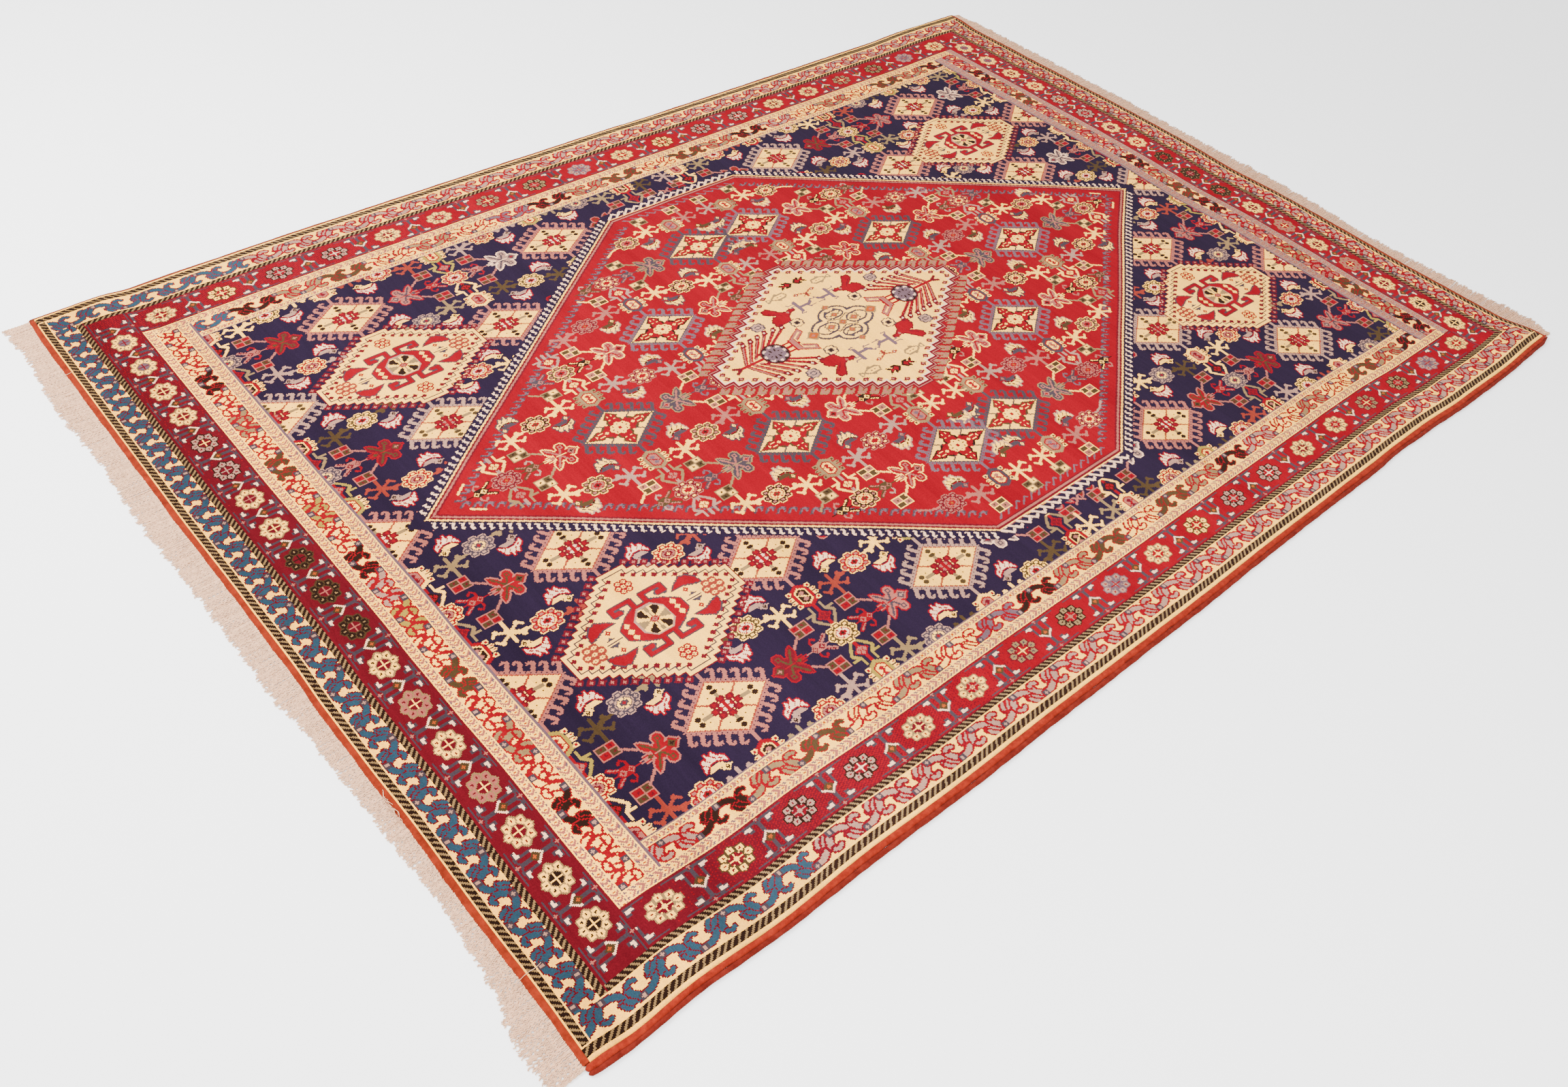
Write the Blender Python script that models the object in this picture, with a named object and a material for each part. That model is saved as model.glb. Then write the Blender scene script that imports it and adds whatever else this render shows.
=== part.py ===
"""A hand-knotted wool rug, lying flat.

One knotted body, an overcast selvedge along each long side, a flat-woven band at each end,
and the warp ends beyond the bands as two fringes, each in locks on a narrow root strip.

Plan sizes are in millimetres. `along` runs from the near end to the far end and `across`
from the far long side to the near long side, both from the corner where the near end meets
the far long side. The model is in metres: +X runs along, +Y towards the far long side, +Z up,
with the floor at z = 0 and the origin in the middle of the underside.
"""
from collections import namedtuple

import bmesh
import bpy
import numpy as np

MM = 0.001
GAP = 0.3                 # clear space between neighbouring solids

LENGTH = 2910.0           # knotted ground, about, end to end
WIDTH = 2080.0            # and side to side
MIDDLE_ALONG = 1464.0     # the middle of the whole rug, fringes included
MIDDLE_ACROSS = 1036.5

PILE_HEIGHT = 10.0        # top of the pile over the floor
PILE_RIM_HEIGHT = 6.5     # height to which the pile rounds down at its rim
PILE_ROUNDING = 6.0       # width of that rounding
STRIP_WIDTH = 5.0         # root strip of a fringe, outwards
STRIP_HEIGHT = 3.5
LOCKS_PER_FRINGE = 150
LOCK_FILL = 0.8           # a lock's width at its root, as a share of the space it has

SECTIONS_ALONG = 42       # steps of the body's surface
SECTIONS_ACROSS = 28
FRINGE_OVERHANG = 4.0     # the fringe starts this far outside the body's corners

# Long sides: where the pile ends and where the selvedge's rim runs, across.
Side = namedtuple("Side", "along pile rim")
FAR_SIDE = (
    Side(-20, -8, -17),
    Side(35, -8, -18),
    Side(150, -12, -22),
    Side(215, -4, -15),
    Side(350, -8, -18),
    Side(600, -11, -21),
    Side(1000, -10, -20),
    Side(1450, -8, -18),
    Side(1700, -4, -14),
    Side(2100, -3, -14),
    Side(2500, -4, -14),
    Side(2700, -11, -21),
    Side(2895, -9, -19),
    Side(2960, -9, -16),
)
NEAR_SIDE = (
    Side(-20, 2070, 2080),
    Side(30, 2070, 2090),
    Side(90, 2074, 2092),
    Side(205, 2069, 2087),
    Side(385, 2076, 2094),
    Side(560, 2071, 2092),
    Side(780, 2074, 2095),
    Side(1020, 2071, 2093),
    Side(1400, 2071, 2092),
    Side(1800, 2067, 2087),
    Side(2120, 2066, 2087),
    Side(2210, 2065, 2083),
    Side(2330, 2066, 2086),
    Side(2520, 2074, 2094),
    Side(2720, 2077, 2095),
    Side(2895, 2072, 2090),
    Side(2960, 2072, 2079),
)

# Short ends: where the pile ends and where the flat-woven band's rim runs, along.
End = namedtuple("End", "across pile rim")
NEAR_END = (
    End(-20, 10, -1),
    End(70, 8.5, -4.5),
    End(350, 9, -4),
    End(700, 10, -2),
    End(1000, 14, 2.5),
    End(1190, 16, 4),
    End(1290, 14, 2.5),
    End(1420, 15, 3),
    End(1600, 18.5, 6.5),
    End(1780, 18, 5.5),
    End(1930, 20, 8),
    End(2100, 18, 6.5),
)
FAR_END = (
    End(-20, 2915, 2929),
    End(20, 2914, 2928),
    End(105, 2905, 2919),
    End(300, 2910, 2924),
    End(520, 2916, 2930),
    End(760, 2921, 2936),
    End(920, 2921, 2936),
    End(1120, 2912, 2927),
    End(1300, 2919, 2933),
    End(1480, 2914, 2929),
    End(1680, 2907, 2921),
    End(1960, 2907, 2921),
    End(2055, 2930, 2944),
    End(2100, 2931, 2945),
)

# Fringes: how far the tips reach, along.
Tips = namedtuple("Tips", "across reach")
NEAR_TIPS = (
    Tips(-20, -58),
    Tips(110, -52),
    Tips(300, -63),
    Tips(510, -53),
    Tips(700, -59),
    Tips(960, -50),
    Tips(1210, -47),
    Tips(1340, -35),
    Tips(1560, -29),
    Tips(1730, -23),
    Tips(1880, -32),
    Tips(1990, -55),
    Tips(2100, -51),
)
FAR_TIPS = (
    Tips(-20, 2955),
    Tips(100, 2970),
    Tips(480, 2981),
    Tips(700, 2988),
    Tips(900, 2984),
    Tips(1180, 2991),
    Tips(1370, 2986),
    Tips(1530, 2969),
    Tips(1760, 2974),
    Tips(2000, 2990),
    Tips(2100, 2972),
)

# Soft swells of the pile: middle, half-lengths and height.
Swell = namedtuple("Swell", "along across half_along half_across height")
SWELLS = (
    Swell(95, 30, 90, 110, 2.4),
    Swell(210, 2040, 60, 90, 2.0),
    Swell(600, 2040, 140, 70, 1.2),
    Swell(2260, 2040, 110, 80, 2.2),
    Swell(2850, 2030, 90, 90, 2.6),
    Swell(2740, 30, 110, 90, 2.2),
    Swell(1540, 20, 120, 60, 1.4),
    Swell(2880, 820, 70, 240, 2.6),
    Swell(2890, 1320, 60, 110, 1.8),
    Swell(60, 1180, 60, 130, 1.2),
    Swell(900, 980, 380, 60, 0.8),
    Swell(2100, 1300, 60, 420, 0.8),
)

# Cross-sections: share of the way from the pile to the rim, and height over the floor.
Profile = namedtuple("Profile", "share height")
TWO_CORD_SELVEDGE = (
    Profile(0.00, 0.0),
    Profile(0.00, 6.4),
    Profile(0.12, 8.8),
    Profile(0.30, 9.6),
    Profile(0.46, 8.6),
    Profile(0.55, 6.8),
    Profile(0.66, 7.9),
    Profile(0.80, 7.6),
    Profile(0.93, 5.6),
    Profile(1.00, 2.8),
    Profile(0.97, 0.0),
)
ONE_CORD_SELVEDGE = (
    Profile(0.00, 0.0),
    Profile(0.00, 5.0),
    Profile(0.20, 6.8),
    Profile(0.50, 7.0),
    Profile(0.80, 5.6),
    Profile(1.00, 2.6),
    Profile(0.96, 0.0),
)
FLAT_WOVEN_BAND = (
    Profile(0.00, 0.0),
    Profile(0.00, 6.0),
    Profile(0.20, 7.2),
    Profile(0.62, 7.0),
    Profile(0.86, 5.8),
    Profile(1.00, 3.4),
    Profile(0.99, 0.0),
)

# A lock of the fringe: share of its length, share of its root's width, height of its ridge.
Lock = namedtuple("Lock", "share width height")
LOCK_SECTIONS = (
    Lock(0.55, 0.80, 3.2),
    Lock(1.00, 0.34, 1.6),
)


def eased(table, column, at):
    """Read a column of a table anywhere, easing smoothly from each row to the next."""
    places = np.array([row[0] for row in table], float)
    values = np.array([getattr(row, column) for row in table], float)
    at = np.asarray(at, float)
    row = np.clip(np.searchsorted(places, at, side="right") - 1, 0, len(places) - 2)
    share = np.clip((at - places[row]) / (places[row + 1] - places[row]), 0.0, 1.0)
    share = share * share * (3.0 - 2.0 * share)
    return values[row] * (1.0 - share) + values[row + 1] * share


def lerp(start, end, share):
    return start + (end - start) * share


def steps(count, first_share):
    """Shares from 0 to 1: even steps, and one narrow step inside each end."""
    return np.concatenate(([0.0], np.linspace(first_share, 1.0 - first_share, count + 1), [1.0]))


def clear_scene():
    for thing in list(bpy.data.objects):
        bpy.data.objects.remove(thing, do_unlink=True)


def wool(name, color, roughness):
    """Wool and cotton yarn: rough, with no metal in it."""
    material = bpy.data.materials.new(name)
    material.use_nodes = True
    shader = material.node_tree.nodes["Principled BSDF"]
    shader.inputs["Base Color"].default_value = (*color, 1.0)
    shader.inputs["Roughness"].default_value = roughness
    shader.inputs["Metallic"].default_value = 0.0
    return material


def add_solid(name, points, faces, material):
    """Make one closed solid from plan points in millimetres, with its faces pointing out."""
    points = np.asarray(points, float)
    placed = np.stack((
        (points[:, 0] - MIDDLE_ALONG) * MM,
        (MIDDLE_ACROSS - points[:, 1]) * MM,
        points[:, 2] * MM,
    ), axis=1)
    mesh = bpy.data.meshes.new(name)
    mesh.from_pydata(placed.tolist(), [], faces)
    work = bmesh.new()
    work.from_mesh(mesh)
    bmesh.ops.recalc_face_normals(work, faces=work.faces)
    work.to_mesh(mesh)
    work.free()
    mesh.materials.append(material)
    solid = bpy.data.objects.new(name, mesh)
    bpy.context.scene.collection.objects.link(solid)
    return solid


def far_side_line(along):
    return eased(FAR_SIDE, "pile", along)


def near_side_line(along):
    return eased(NEAR_SIDE, "pile", along)


def end_stations(end_table):
    """Where the body's end has its points, across: from one long side to the other."""
    corner_along = end_table[0].pile
    shares = steps(SECTIONS_ACROSS, PILE_ROUNDING / WIDTH)
    return lerp(far_side_line(corner_along), near_side_line(corner_along), shares)


def side_stations(side_table):
    """Where the body's side has its points, along: from the near end to the far end."""
    corner_across = side_table[0].pile
    shares = steps(SECTIONS_ALONG, PILE_ROUNDING / LENGTH)
    start = eased(NEAR_END, "pile", corner_across)
    return lerp(start, eased(FAR_END, "pile", corner_across), shares)


def body_plan():
    """Plan points of the body's surface, [along step, across step, 2].

    Each point blends its places on the four edges: the edges' waves die away evenly
    towards the opposite edge.
    """
    near_across = end_stations(NEAR_END)
    far_across = end_stations(FAR_END)
    far_side_along = side_stations(FAR_SIDE)
    near_side_along = side_stations(NEAR_SIDE)
    near_end = np.stack((eased(NEAR_END, "pile", near_across), near_across), axis=1)
    far_end = np.stack((eased(FAR_END, "pile", far_across), far_across), axis=1)
    far_side = np.stack((far_side_along, far_side_line(far_side_along)), axis=1)
    near_side = np.stack((near_side_along, near_side_line(near_side_along)), axis=1)
    s = steps(SECTIONS_ALONG, PILE_ROUNDING / LENGTH)[:, None, None]
    t = steps(SECTIONS_ACROSS, PILE_ROUNDING / WIDTH)[None, :, None]
    between_ends = lerp(near_end[None], far_end[None], s)
    between_sides = lerp(far_side[:, None], near_side[:, None], t)
    between_corners = lerp(
        lerp(near_end[0], far_end[0], s),
        lerp(near_end[-1], far_end[-1], s),
        t,
    )
    return between_ends + between_sides - between_corners


def pile_top(plan):
    """Height of the pile: level, with the soft swells on it."""
    height = np.full(plan.shape[:-1], PILE_HEIGHT)
    for swell in SWELLS:
        away_along = (plan[..., 0] - swell.along) / swell.half_along
        away_across = (plan[..., 1] - swell.across) / swell.half_across
        height += swell.height * np.exp(-away_along ** 2 - away_across ** 2)
    return height


def make_body(material):
    """The knotted body: its wavy outline, a rounded rim all round and a flat underside."""
    plan = body_plan()
    height = pile_top(plan)
    rim = np.zeros(height.shape, bool)
    rim[0, :] = rim[-1, :] = rim[:, 0] = rim[:, -1] = True
    height[rim] = PILE_RIM_HEIGHT + 0.5 * (height[rim] - PILE_HEIGHT)
    rows, columns = height.shape
    top = np.concatenate((plan, height[..., None]), axis=2).reshape(-1, 3)
    index = np.arange(rows * columns).reshape(rows, columns)
    faces = [
        (index[i, j], index[i + 1, j], index[i + 1, j + 1], index[i, j + 1])
        for i in range(rows - 1)
        for j in range(columns - 1)
    ]
    around = np.concatenate((index[:-1, 0], index[-1, :-1], index[:0:-1, -1], index[0, :0:-1]))
    bottom = top[around] * (1.0, 1.0, 0.0)
    count = len(around)
    under = len(top) + np.arange(count)
    faces += [
        (around[k], around[(k + 1) % count], under[(k + 1) % count], under[k])
        for k in range(count)
    ]
    faces.append(tuple(under))
    points = np.concatenate((top, bottom))
    return add_solid("rug_body", points, [tuple(map(int, face)) for face in faces], material)


def swept(name, sections, material):
    """A closed solid through equal cross-sections, [section, point, 3], capped at both ends."""
    count, around = sections.shape[:2]
    index = np.arange(count * around).reshape(count, around)
    faces = [
        (index[i, j], index[i + 1, j], index[i + 1, (j + 1) % around], index[i, (j + 1) % around])
        for i in range(count - 1)
        for j in range(around)
    ]
    faces += [tuple(index[0]), tuple(index[-1])]
    points = sections.reshape(-1, 3)
    return add_solid(name, points, [tuple(map(int, face)) for face in faces], material)


def make_selvedge(name, table, profile, outwards, material):
    """The overcast cord or cords along a long side, from one band's rim to the other's."""
    beside = table[0].pile
    body_stations = side_stations(table)
    first = eased(NEAR_END, "rim", beside)
    last = eased(FAR_END, "rim", beside)
    along = np.concatenate(([first], body_stations, [last]))
    pile = eased(table, "pile", along) + outwards * GAP
    rim = eased(table, "rim", along)
    sections = np.stack([
        np.stack((along, lerp(pile, rim, point.share), np.full_like(along, point.height)), axis=1)
        for point in profile
    ], axis=1)
    return swept(name, sections, material)


def make_band(name, table, outwards, material):
    """The flat-woven band between the two selvedges at one end."""
    across = end_stations(table)
    pile = eased(table, "pile", across) + outwards * GAP
    rim = eased(table, "rim", across)
    sections = np.stack([
        np.stack((lerp(pile, rim, point.share), across, np.full_like(across, point.height)), axis=1)
        for point in FLAT_WOVEN_BAND
    ], axis=1)
    return swept(name, sections, material)


def lock_lean(across):
    """How far a lock's tip swings sideways: slow waves, so that neighbours lean alike."""
    return 5.0 * np.sin(across / 61.0) + 3.0 * np.sin(across / 23.0 + 1.0)


def make_fringe(name, table, tips, outwards, material):
    """Locks of warp yarn on a root strip, all lying level on the floor.

    A lock is three-sided: two lower edges on the floor and a ridge that starts at the
    strip's top edge and falls towards the tip.
    """
    body_across = end_stations(table)
    back_across = np.concatenate((
        [body_across[0] - FRINGE_OVERHANG], body_across, [body_across[-1] + FRINGE_OVERHANG],
    ))
    back_along = eased(table, "rim", back_across) + outwards * GAP
    pitch = (back_across[-1] - back_across[0]) / LOCKS_PER_FRINGE
    middle = back_across[0] + (np.arange(LOCKS_PER_FRINGE) + 0.5) * pitch
    half_width = 0.5 * LOCK_FILL * pitch
    sides = np.stack((middle - half_width, middle + half_width), axis=1).ravel()

    def front(across):
        return np.interp(across, back_across, back_along) + outwards * STRIP_WIDTH

    floor_front = np.concatenate(([back_across[0]], sides, [back_across[-1]]))
    top_front = np.concatenate(([back_across[0]], middle, [back_across[-1]]))
    points = []
    faces = []

    def add_line(along, across, height):
        start = len(points)
        points.extend(zip(along, across, np.broadcast_to(height, np.shape(along))))
        return list(range(start, start + len(along)))

    back_floor = add_line(back_along, back_across, 0.0)
    back_top = add_line(back_along, back_across, STRIP_HEIGHT)
    front_floor = add_line(front(floor_front), floor_front, 0.0)
    front_top = add_line(front(top_front), top_front, STRIP_HEIGHT)
    faces.append(tuple(back_floor + front_floor[::-1]))
    faces.append(tuple(back_top + front_top[::-1]))
    for k in range(len(back_across) - 1):
        faces.append((back_floor[k], back_floor[k + 1], back_top[k + 1], back_top[k]))
    faces.append((back_floor[0], front_floor[0], front_top[0], back_top[0]))
    faces.append((back_floor[-1], front_floor[-1], front_top[-1], back_top[-1]))
    for k in range(LOCKS_PER_FRINGE + 1):
        left, right = front_floor[2 * k], front_floor[2 * k + 1]
        faces.append((left, right, front_top[k + 1], front_top[k]))

    root = front(middle)
    length = np.abs(eased(tips, "reach", middle) - root)
    for k in range(LOCKS_PER_FRINGE):
        ring = [front_floor[2 * k + 1], front_floor[2 * k + 2], front_top[k + 1]]
        for section in LOCK_SECTIONS:
            along = root[k] + outwards * length[k] * section.share
            centre = middle[k] + lock_lean(middle[k]) * section.share ** 2
            half = half_width * section.width
            new_ring = add_line((along,) * 3, (centre - half, centre + half, centre),
                                (0.0, 0.0, section.height))
            for a in range(3):
                b = (a + 1) % 3
                faces.append((ring[a], ring[b], new_ring[b], new_ring[a]))
            ring = new_ring
        faces.append(tuple(ring))
    return add_solid(name, points, faces, material)


def main():
    clear_scene()
    pile_wool = wool("red_pile_wool", (0.42, 0.03, 0.035), 0.9)
    orange_wool = wool("orange_overcast_wool", (0.55, 0.09, 0.03), 0.85)
    cream_yarn = wool("cream_warp_yarn", (0.85, 0.72, 0.6), 0.9)
    make_body(pile_wool)
    make_selvedge("selvedge_far_side", FAR_SIDE, ONE_CORD_SELVEDGE, -1, orange_wool)
    make_selvedge("selvedge_near_side", NEAR_SIDE, TWO_CORD_SELVEDGE, 1, orange_wool)
    make_band("end_band_near", NEAR_END, -1, orange_wool)
    make_band("end_band_far", FAR_END, 1, orange_wool)
    make_fringe("fringe_near", NEAR_END, NEAR_TIPS, -1, cream_yarn)
    make_fringe("fringe_far", FAR_END, FAR_TIPS, 1, cream_yarn)


main()
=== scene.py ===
"""The looks of a hand-knotted wool rug, lying flat, in the CAD part's frame.

The design is woven first, as a grid of knots. The pile's surface then carries it, sixteen knots
to a face, and the selvedges, end bands and fringes are built yarn by yarn round it.
Plan sizes are in mm: `along` from the near end to the far end, `across` from the far long side
to the near long side. In the frame, X = along - 1464, Y = 1036.5 - across, Z up, in metres.
"""

import math

import bpy
import numpy as np
from mathutils import Matrix


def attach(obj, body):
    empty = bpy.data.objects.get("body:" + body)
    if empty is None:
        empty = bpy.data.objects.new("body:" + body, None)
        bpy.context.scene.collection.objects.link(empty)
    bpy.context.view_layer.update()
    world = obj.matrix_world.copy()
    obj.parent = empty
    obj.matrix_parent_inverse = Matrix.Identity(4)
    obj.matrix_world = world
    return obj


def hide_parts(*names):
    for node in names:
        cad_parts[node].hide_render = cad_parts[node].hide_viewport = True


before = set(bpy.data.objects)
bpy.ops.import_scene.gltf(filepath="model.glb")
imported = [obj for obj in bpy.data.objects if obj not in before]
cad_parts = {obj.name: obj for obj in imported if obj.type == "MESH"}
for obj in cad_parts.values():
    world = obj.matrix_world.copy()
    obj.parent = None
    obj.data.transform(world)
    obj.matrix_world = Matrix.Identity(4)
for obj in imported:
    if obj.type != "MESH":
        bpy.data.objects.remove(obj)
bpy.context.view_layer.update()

# ---------------------------------------------------------------------------------------------
# The loom: the design as a grid of knots, one dye number to a knot, drawn from motifs.
# Index [along, across], both counted from the corner of the near end and the far long side.
# ---------------------------------------------------------------------------------------------
KNOT = 2.5                      # mm from one knot to the next, on the straight design
KNOTS_ALONG, KNOTS_ACROSS = 1176, 824
CENTRE = (588, 412)
SIDE_DEPTH, END_DEPTH = 102, 104            # the borders along the long sides and at the ends
FIELD = (slice(104, 1072), slice(102, 722))

DYES = "NRCPBGDOTLAWKYSV"       # one letter to a dye; the numbers are their places here
BARE = 255
DYE_OF = np.full(128, BARE, np.uint8)       # a letter's dye number
DYE_OF[[ord(letter) for letter in DYES]] = np.arange(len(DYES))
OWN_LETTER = np.arange(128)                 # in place of it, where a chart keeps its letters
QUARTERS = ((1, 1), (-1, 1), (1, -1), (-1, -1))


def dye(letter):
    return DYES.index(letter)


def window(cloth, points, margin=0.0):
    """The part of the cloth round some points, with the knots' own places as x and y."""
    points = np.asarray(points, float)
    low = np.clip(np.floor(points.min(0) - margin).astype(int), 0, cloth.shape)
    high = np.clip(np.ceil(points.max(0) + margin).astype(int) + 1, 0, cloth.shape)
    x, y = np.mgrid[low[0]:high[0], low[1]:high[1]]
    return cloth[low[0]:high[0], low[1]:high[1]], x, y


def draw_area(cloth, value, points):
    """Fill a polygon: a knot is in it if a line from it crosses an odd number of sides."""
    part, x, y = window(cloth, points)
    inside = np.zeros(x.shape, bool)
    points = [tuple(map(float, p)) for p in points]
    for (ax, ay), (bx, by) in zip(points, points[1:] + points[:1]):
        if ay != by:
            inside ^= ((ay > y) != (by > y)) & (x < (bx - ax) * (y - ay) / (by - ay) + ax)
    part[inside] = value


def lozenge(x, y, a, b):
    """The four tips of a lozenge of half-lengths a and b about x, y."""
    return [(x - a, y), (x, y - b), (x + a, y), (x, y + b)]


def draw_line(cloth, value, points, width):
    """Fill every knot within half the width of a line through the points."""
    part, x, y = window(cloth, points, width / 2)
    near = np.zeros(x.shape, bool)
    for (ax, ay), (bx, by) in zip(points[:-1], points[1:]):
        dx, dy = bx - ax, by - ay
        share = np.clip(((x - ax) * dx + (y - ay) * dy) / max(dx * dx + dy * dy, 1e-9), 0, 1)
        near |= np.hypot(x - ax - share * dx, y - ay - share * dy) <= width / 2
    part[near] = value


def draw_oval(cloth, value, centre, radii):
    """Fill (x/a)^2 + (y/b)^2 <= 1."""
    part, x, y = window(cloth, [centre], max(radii))
    part[((x - centre[0]) / radii[0]) ** 2 + ((y - centre[1]) / radii[1]) ** 2 <= 1] = value


def grown(mask, knots):
    """The mask widened by that many knots in each of the four directions and their corners."""
    for _ in range(knots):
        wide = mask.copy()
        wide[1:] |= mask[:-1]
        wide[:-1] |= mask[1:]
        mask = wide.copy()
        wide[:, 1:] |= mask[:, :-1]
        wide[:, :-1] |= mask[:, 1:]
        mask = wide
    return mask


def points_of(word):
    """A chart's point, "x,y", or its ring of eight, "*a,b,c,d"."""
    numbers = [float(n) for n in word.strip("*").split(",")]
    if word[0] != "*":
        return [numbers]
    a, b, c, d = numbers
    return [(a, 0), (-a, 0), (0, b), (0, -b), (c, d), (c, -d), (-c, d), (-c, -d)]


def chart(half, text, stretch=1):
    """A motif on its own small grid, with its half-lengths in mm. Semicolons part the shapes, and
    each has a letter, a kind and points in mm from the motif's middle. The kinds are area,
    line:width, oval:radii, diamond:half-lengths, box, between two corners, and edge:knots, a rim
    round all that is drawn so far. With /x, /y or /xy a shape is drawn mirrored that way too.
    *a,b,c,d stands for (a, 0), (0, b), (c, d) and their mirror images. `stretch` spreads the
    points in the motif's first direction."""
    middle = np.round(np.asarray(half) / KNOT).astype(int)
    grid = np.zeros(2 * middle + 1, np.uint8)
    for shape in text.split(";"):
        letter, kind, *words = shape.split()
        kind, _, size = kind.partition(":")
        kind, _, mirror = kind.partition("/")
        value, size = ord(letter), [float(s) for s in size.split(",") if s]
        points = [point for word in words for point in points_of(word)]
        outlines = [points]
        if kind == "edge":
            grid[grown(grid > 0, int(size[0])) & (grid == 0)] = value
            continue
        if kind == "box":
            (ax, ay), (bx, by) = points
            outlines = [[(ax, ay), (bx, ay), (bx, by), (ax, by)]]
        elif kind == "diamond":
            outlines = [lozenge(x, y, *size) for x, y in points]
        for fx, fy in QUARTERS:
            if (fx < 0 and "x" not in mirror) or (fy < 0 and "y" not in mirror):
                continue
            for outline in outlines:
                place = [(x * stretch * fx / KNOT + middle[0], y * fy / KNOT + middle[1]) for x, y in outline]
                if kind == "line":
                    draw_line(grid, value, place, size[0] / KNOT)
                elif kind == "oval":
                    for centre in place:
                        draw_oval(grid, value, centre, (size[0] / KNOT, size[1] / KNOT))
                else:
                    draw_area(grid, value, place)
    return grid


def stamp(cloth, motif, at, colours="", flip=(1, 1), within=None):
    """Knot a motif into the cloth. Colours pair each of its small letters with a dye, as "oC".
    A motif that doesn't fit in the mask is left out."""
    to_dye = DYE_OF.copy()
    for pair in colours.split():
        to_dye[ord(pair[0])] = dye(pair[1])
    piece = motif[::flip[0], ::flip[1]]
    start = [int(round(at[k])) - piece.shape[k] // 2 for k in (0, 1)]
    low = [max(0, -start[k]) for k in (0, 1)]
    high = [min(piece.shape[k], cloth.shape[k] - start[k]) for k in (0, 1)]
    if low[0] >= high[0] or low[1] >= high[1]:
        return
    piece = piece[low[0]:high[0], low[1]:high[1]]
    place = tuple(slice(start[k] + low[k], start[k] + high[k]) for k in (0, 1))
    used = piece > 0
    if within is not None and (used & ~within[place]).any():
        return
    knots = to_dye[piece]
    used &= knots != BARE
    cloth[place][used] = knots[used]


def rows(text):
    """A chart given in rows of letters, as an array of letters, [column, row], with dots left bare."""
    grid = np.array([[ord(c) for c in line] for line in text.split()], np.uint8).T
    grid[grid == ord(".")] = 0
    return grid


def hooks(cloth, centre, start, end, count, out, pattern, within=None, to_dye=DYE_OF):
    """A row of hooks along a line and its three mirror images: the chart is laid out on
    slanted axes, its columns along the line, count times over, and its rows out along `out`."""
    reach = max(abs(out[0]), abs(out[1]))
    for fx, fy in QUARTERS:
        along = ((end[0] - start[0]) * fx / count, (end[1] - start[1]) * fy / count)
        away = (out[0] * fx, out[1] * fy)
        ends = [(centre[0] + x * fx, centre[1] + y * fy) for x, y in (start, end)]
        part, x, y = window(cloth, ends, reach)
        allowed = True if within is None else window(within, ends, reach)[0]
        det = along[0] * away[1] - along[1] * away[0]
        dx, dy = x - ends[0][0], y - ends[0][1]
        s = (dx * away[1] - dy * away[0]) / det
        t = (dy * along[0] - dx * along[1]) / det
        column = ((s % 1.0) * pattern.shape[0]).astype(int).clip(0, pattern.shape[0] - 1)
        row = (t * pattern.shape[1]).astype(int).clip(0, pattern.shape[1] - 1)
        letters = pattern[column, row]
        used = (s >= 0) & (s < count) & (t >= 0) & (t < 1) & allowed & (letters > 0)
        part[used] = to_dye[letters[used]]


def stairs(shape, centre, flat, cell, count):
    """A stepped lozenge: steps along x and steps along y add up to at most `count`."""
    x, y = np.mgrid[0:shape[0], 0:shape[1]]
    sx = np.maximum(np.ceil((np.abs(x - centre[0]) - flat[0]) / cell[0]), 0)
    sy = np.maximum(np.ceil((np.abs(y - centre[1]) - flat[1]) / cell[1]), 0)
    return sx + sy <= count


def step_places(centre, flat, cell, count, inset):
    """A place for each step of a stepped lozenge, that far in from its corner, and which way is
    outwards along x there."""
    for k in range(count + 1):
        for fx, fy in QUARTERS:
            yield (centre[0] + fx * (flat[0] + k * cell[0] - inset[0]),
                   centre[1] + fy * (flat[1] + (count - k) * cell[1] - inset[1]), fx)


# ---- The motifs of the field. -----------------------------------------------------------------

ROSETTE = chart((36, 29), """
    o oval:9.8,8.4 *24.5,18.5,17.5,13.5; o oval:25,18.5 0,0; p oval:7.6,6.4 *24.5,18.5,17.5,13.5;
    p oval:24,17.5 0,0; q oval:3.6,3 *24.5,18.5,17.5,13.5; o oval:18.6,14.4 0,0; i oval:16,12 0,0;
    j oval:3.4,3 11,0 -11,0 0,8.5 0,-8.5; j oval/xy:3,2.6 7.5,5.5; c oval:3.2,3 0,0
    """)
STAR = chart((46, 40), """
    b area 12,0 28,-12 43,0 28,12; b oval/y:10.5,10.5 14,-21;
    b area/y -16,2 -10,-10 2,-16 14,-12 24,-8 24,2; b area/y 2,-8 -12,-27 -23,-34 -24,-20 -12,-2; o edge:1;
    o area -10,-9 -36,-9 -26,-5 -40,-3 -30,0 -40,3 -26,5 -36,9 -10,9; b line/y:2.4 -30,-6 -14,-3;
    l line/y:4.4 -19,-28 -2,-4 3,-4 13,-20; l oval/y:6,6 14,-21; b oval/y:3,3 14,-21; l diamond:10,8 28,0;
    d diamond:5,4 28,0; l diamond:6,4.5 -18,0; o line:2 -8,0 14,0
    """)
SPIDER = chart((36, 42), """
    s line:6 0,-40 0,22; s line/y:5.5 -24,-14 24,14; s line/xy:5.5 23,-15 31,-7;
    s area/xy 18,-18 25,-18 33,-8 30,-4 22,-10 16,-9
    """)
LINK = chart((44, 20), "s line:5 -42,-14 -16,2 8,4 42,2")
TIE = chart((16, 13), "c line:5 -12,-9 12,9")
CHECK = chart((22, 17), """
    c box -20,-15 20,15; a box -17.5,-12.5 -1,-1; a box 17.5,12.5 1,1; b box 17.5,-12.5 1,-1;
    b box -17.5,12.5 -1,1; e oval/xy:2.4,2 9.5,6.5
    """)
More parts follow.
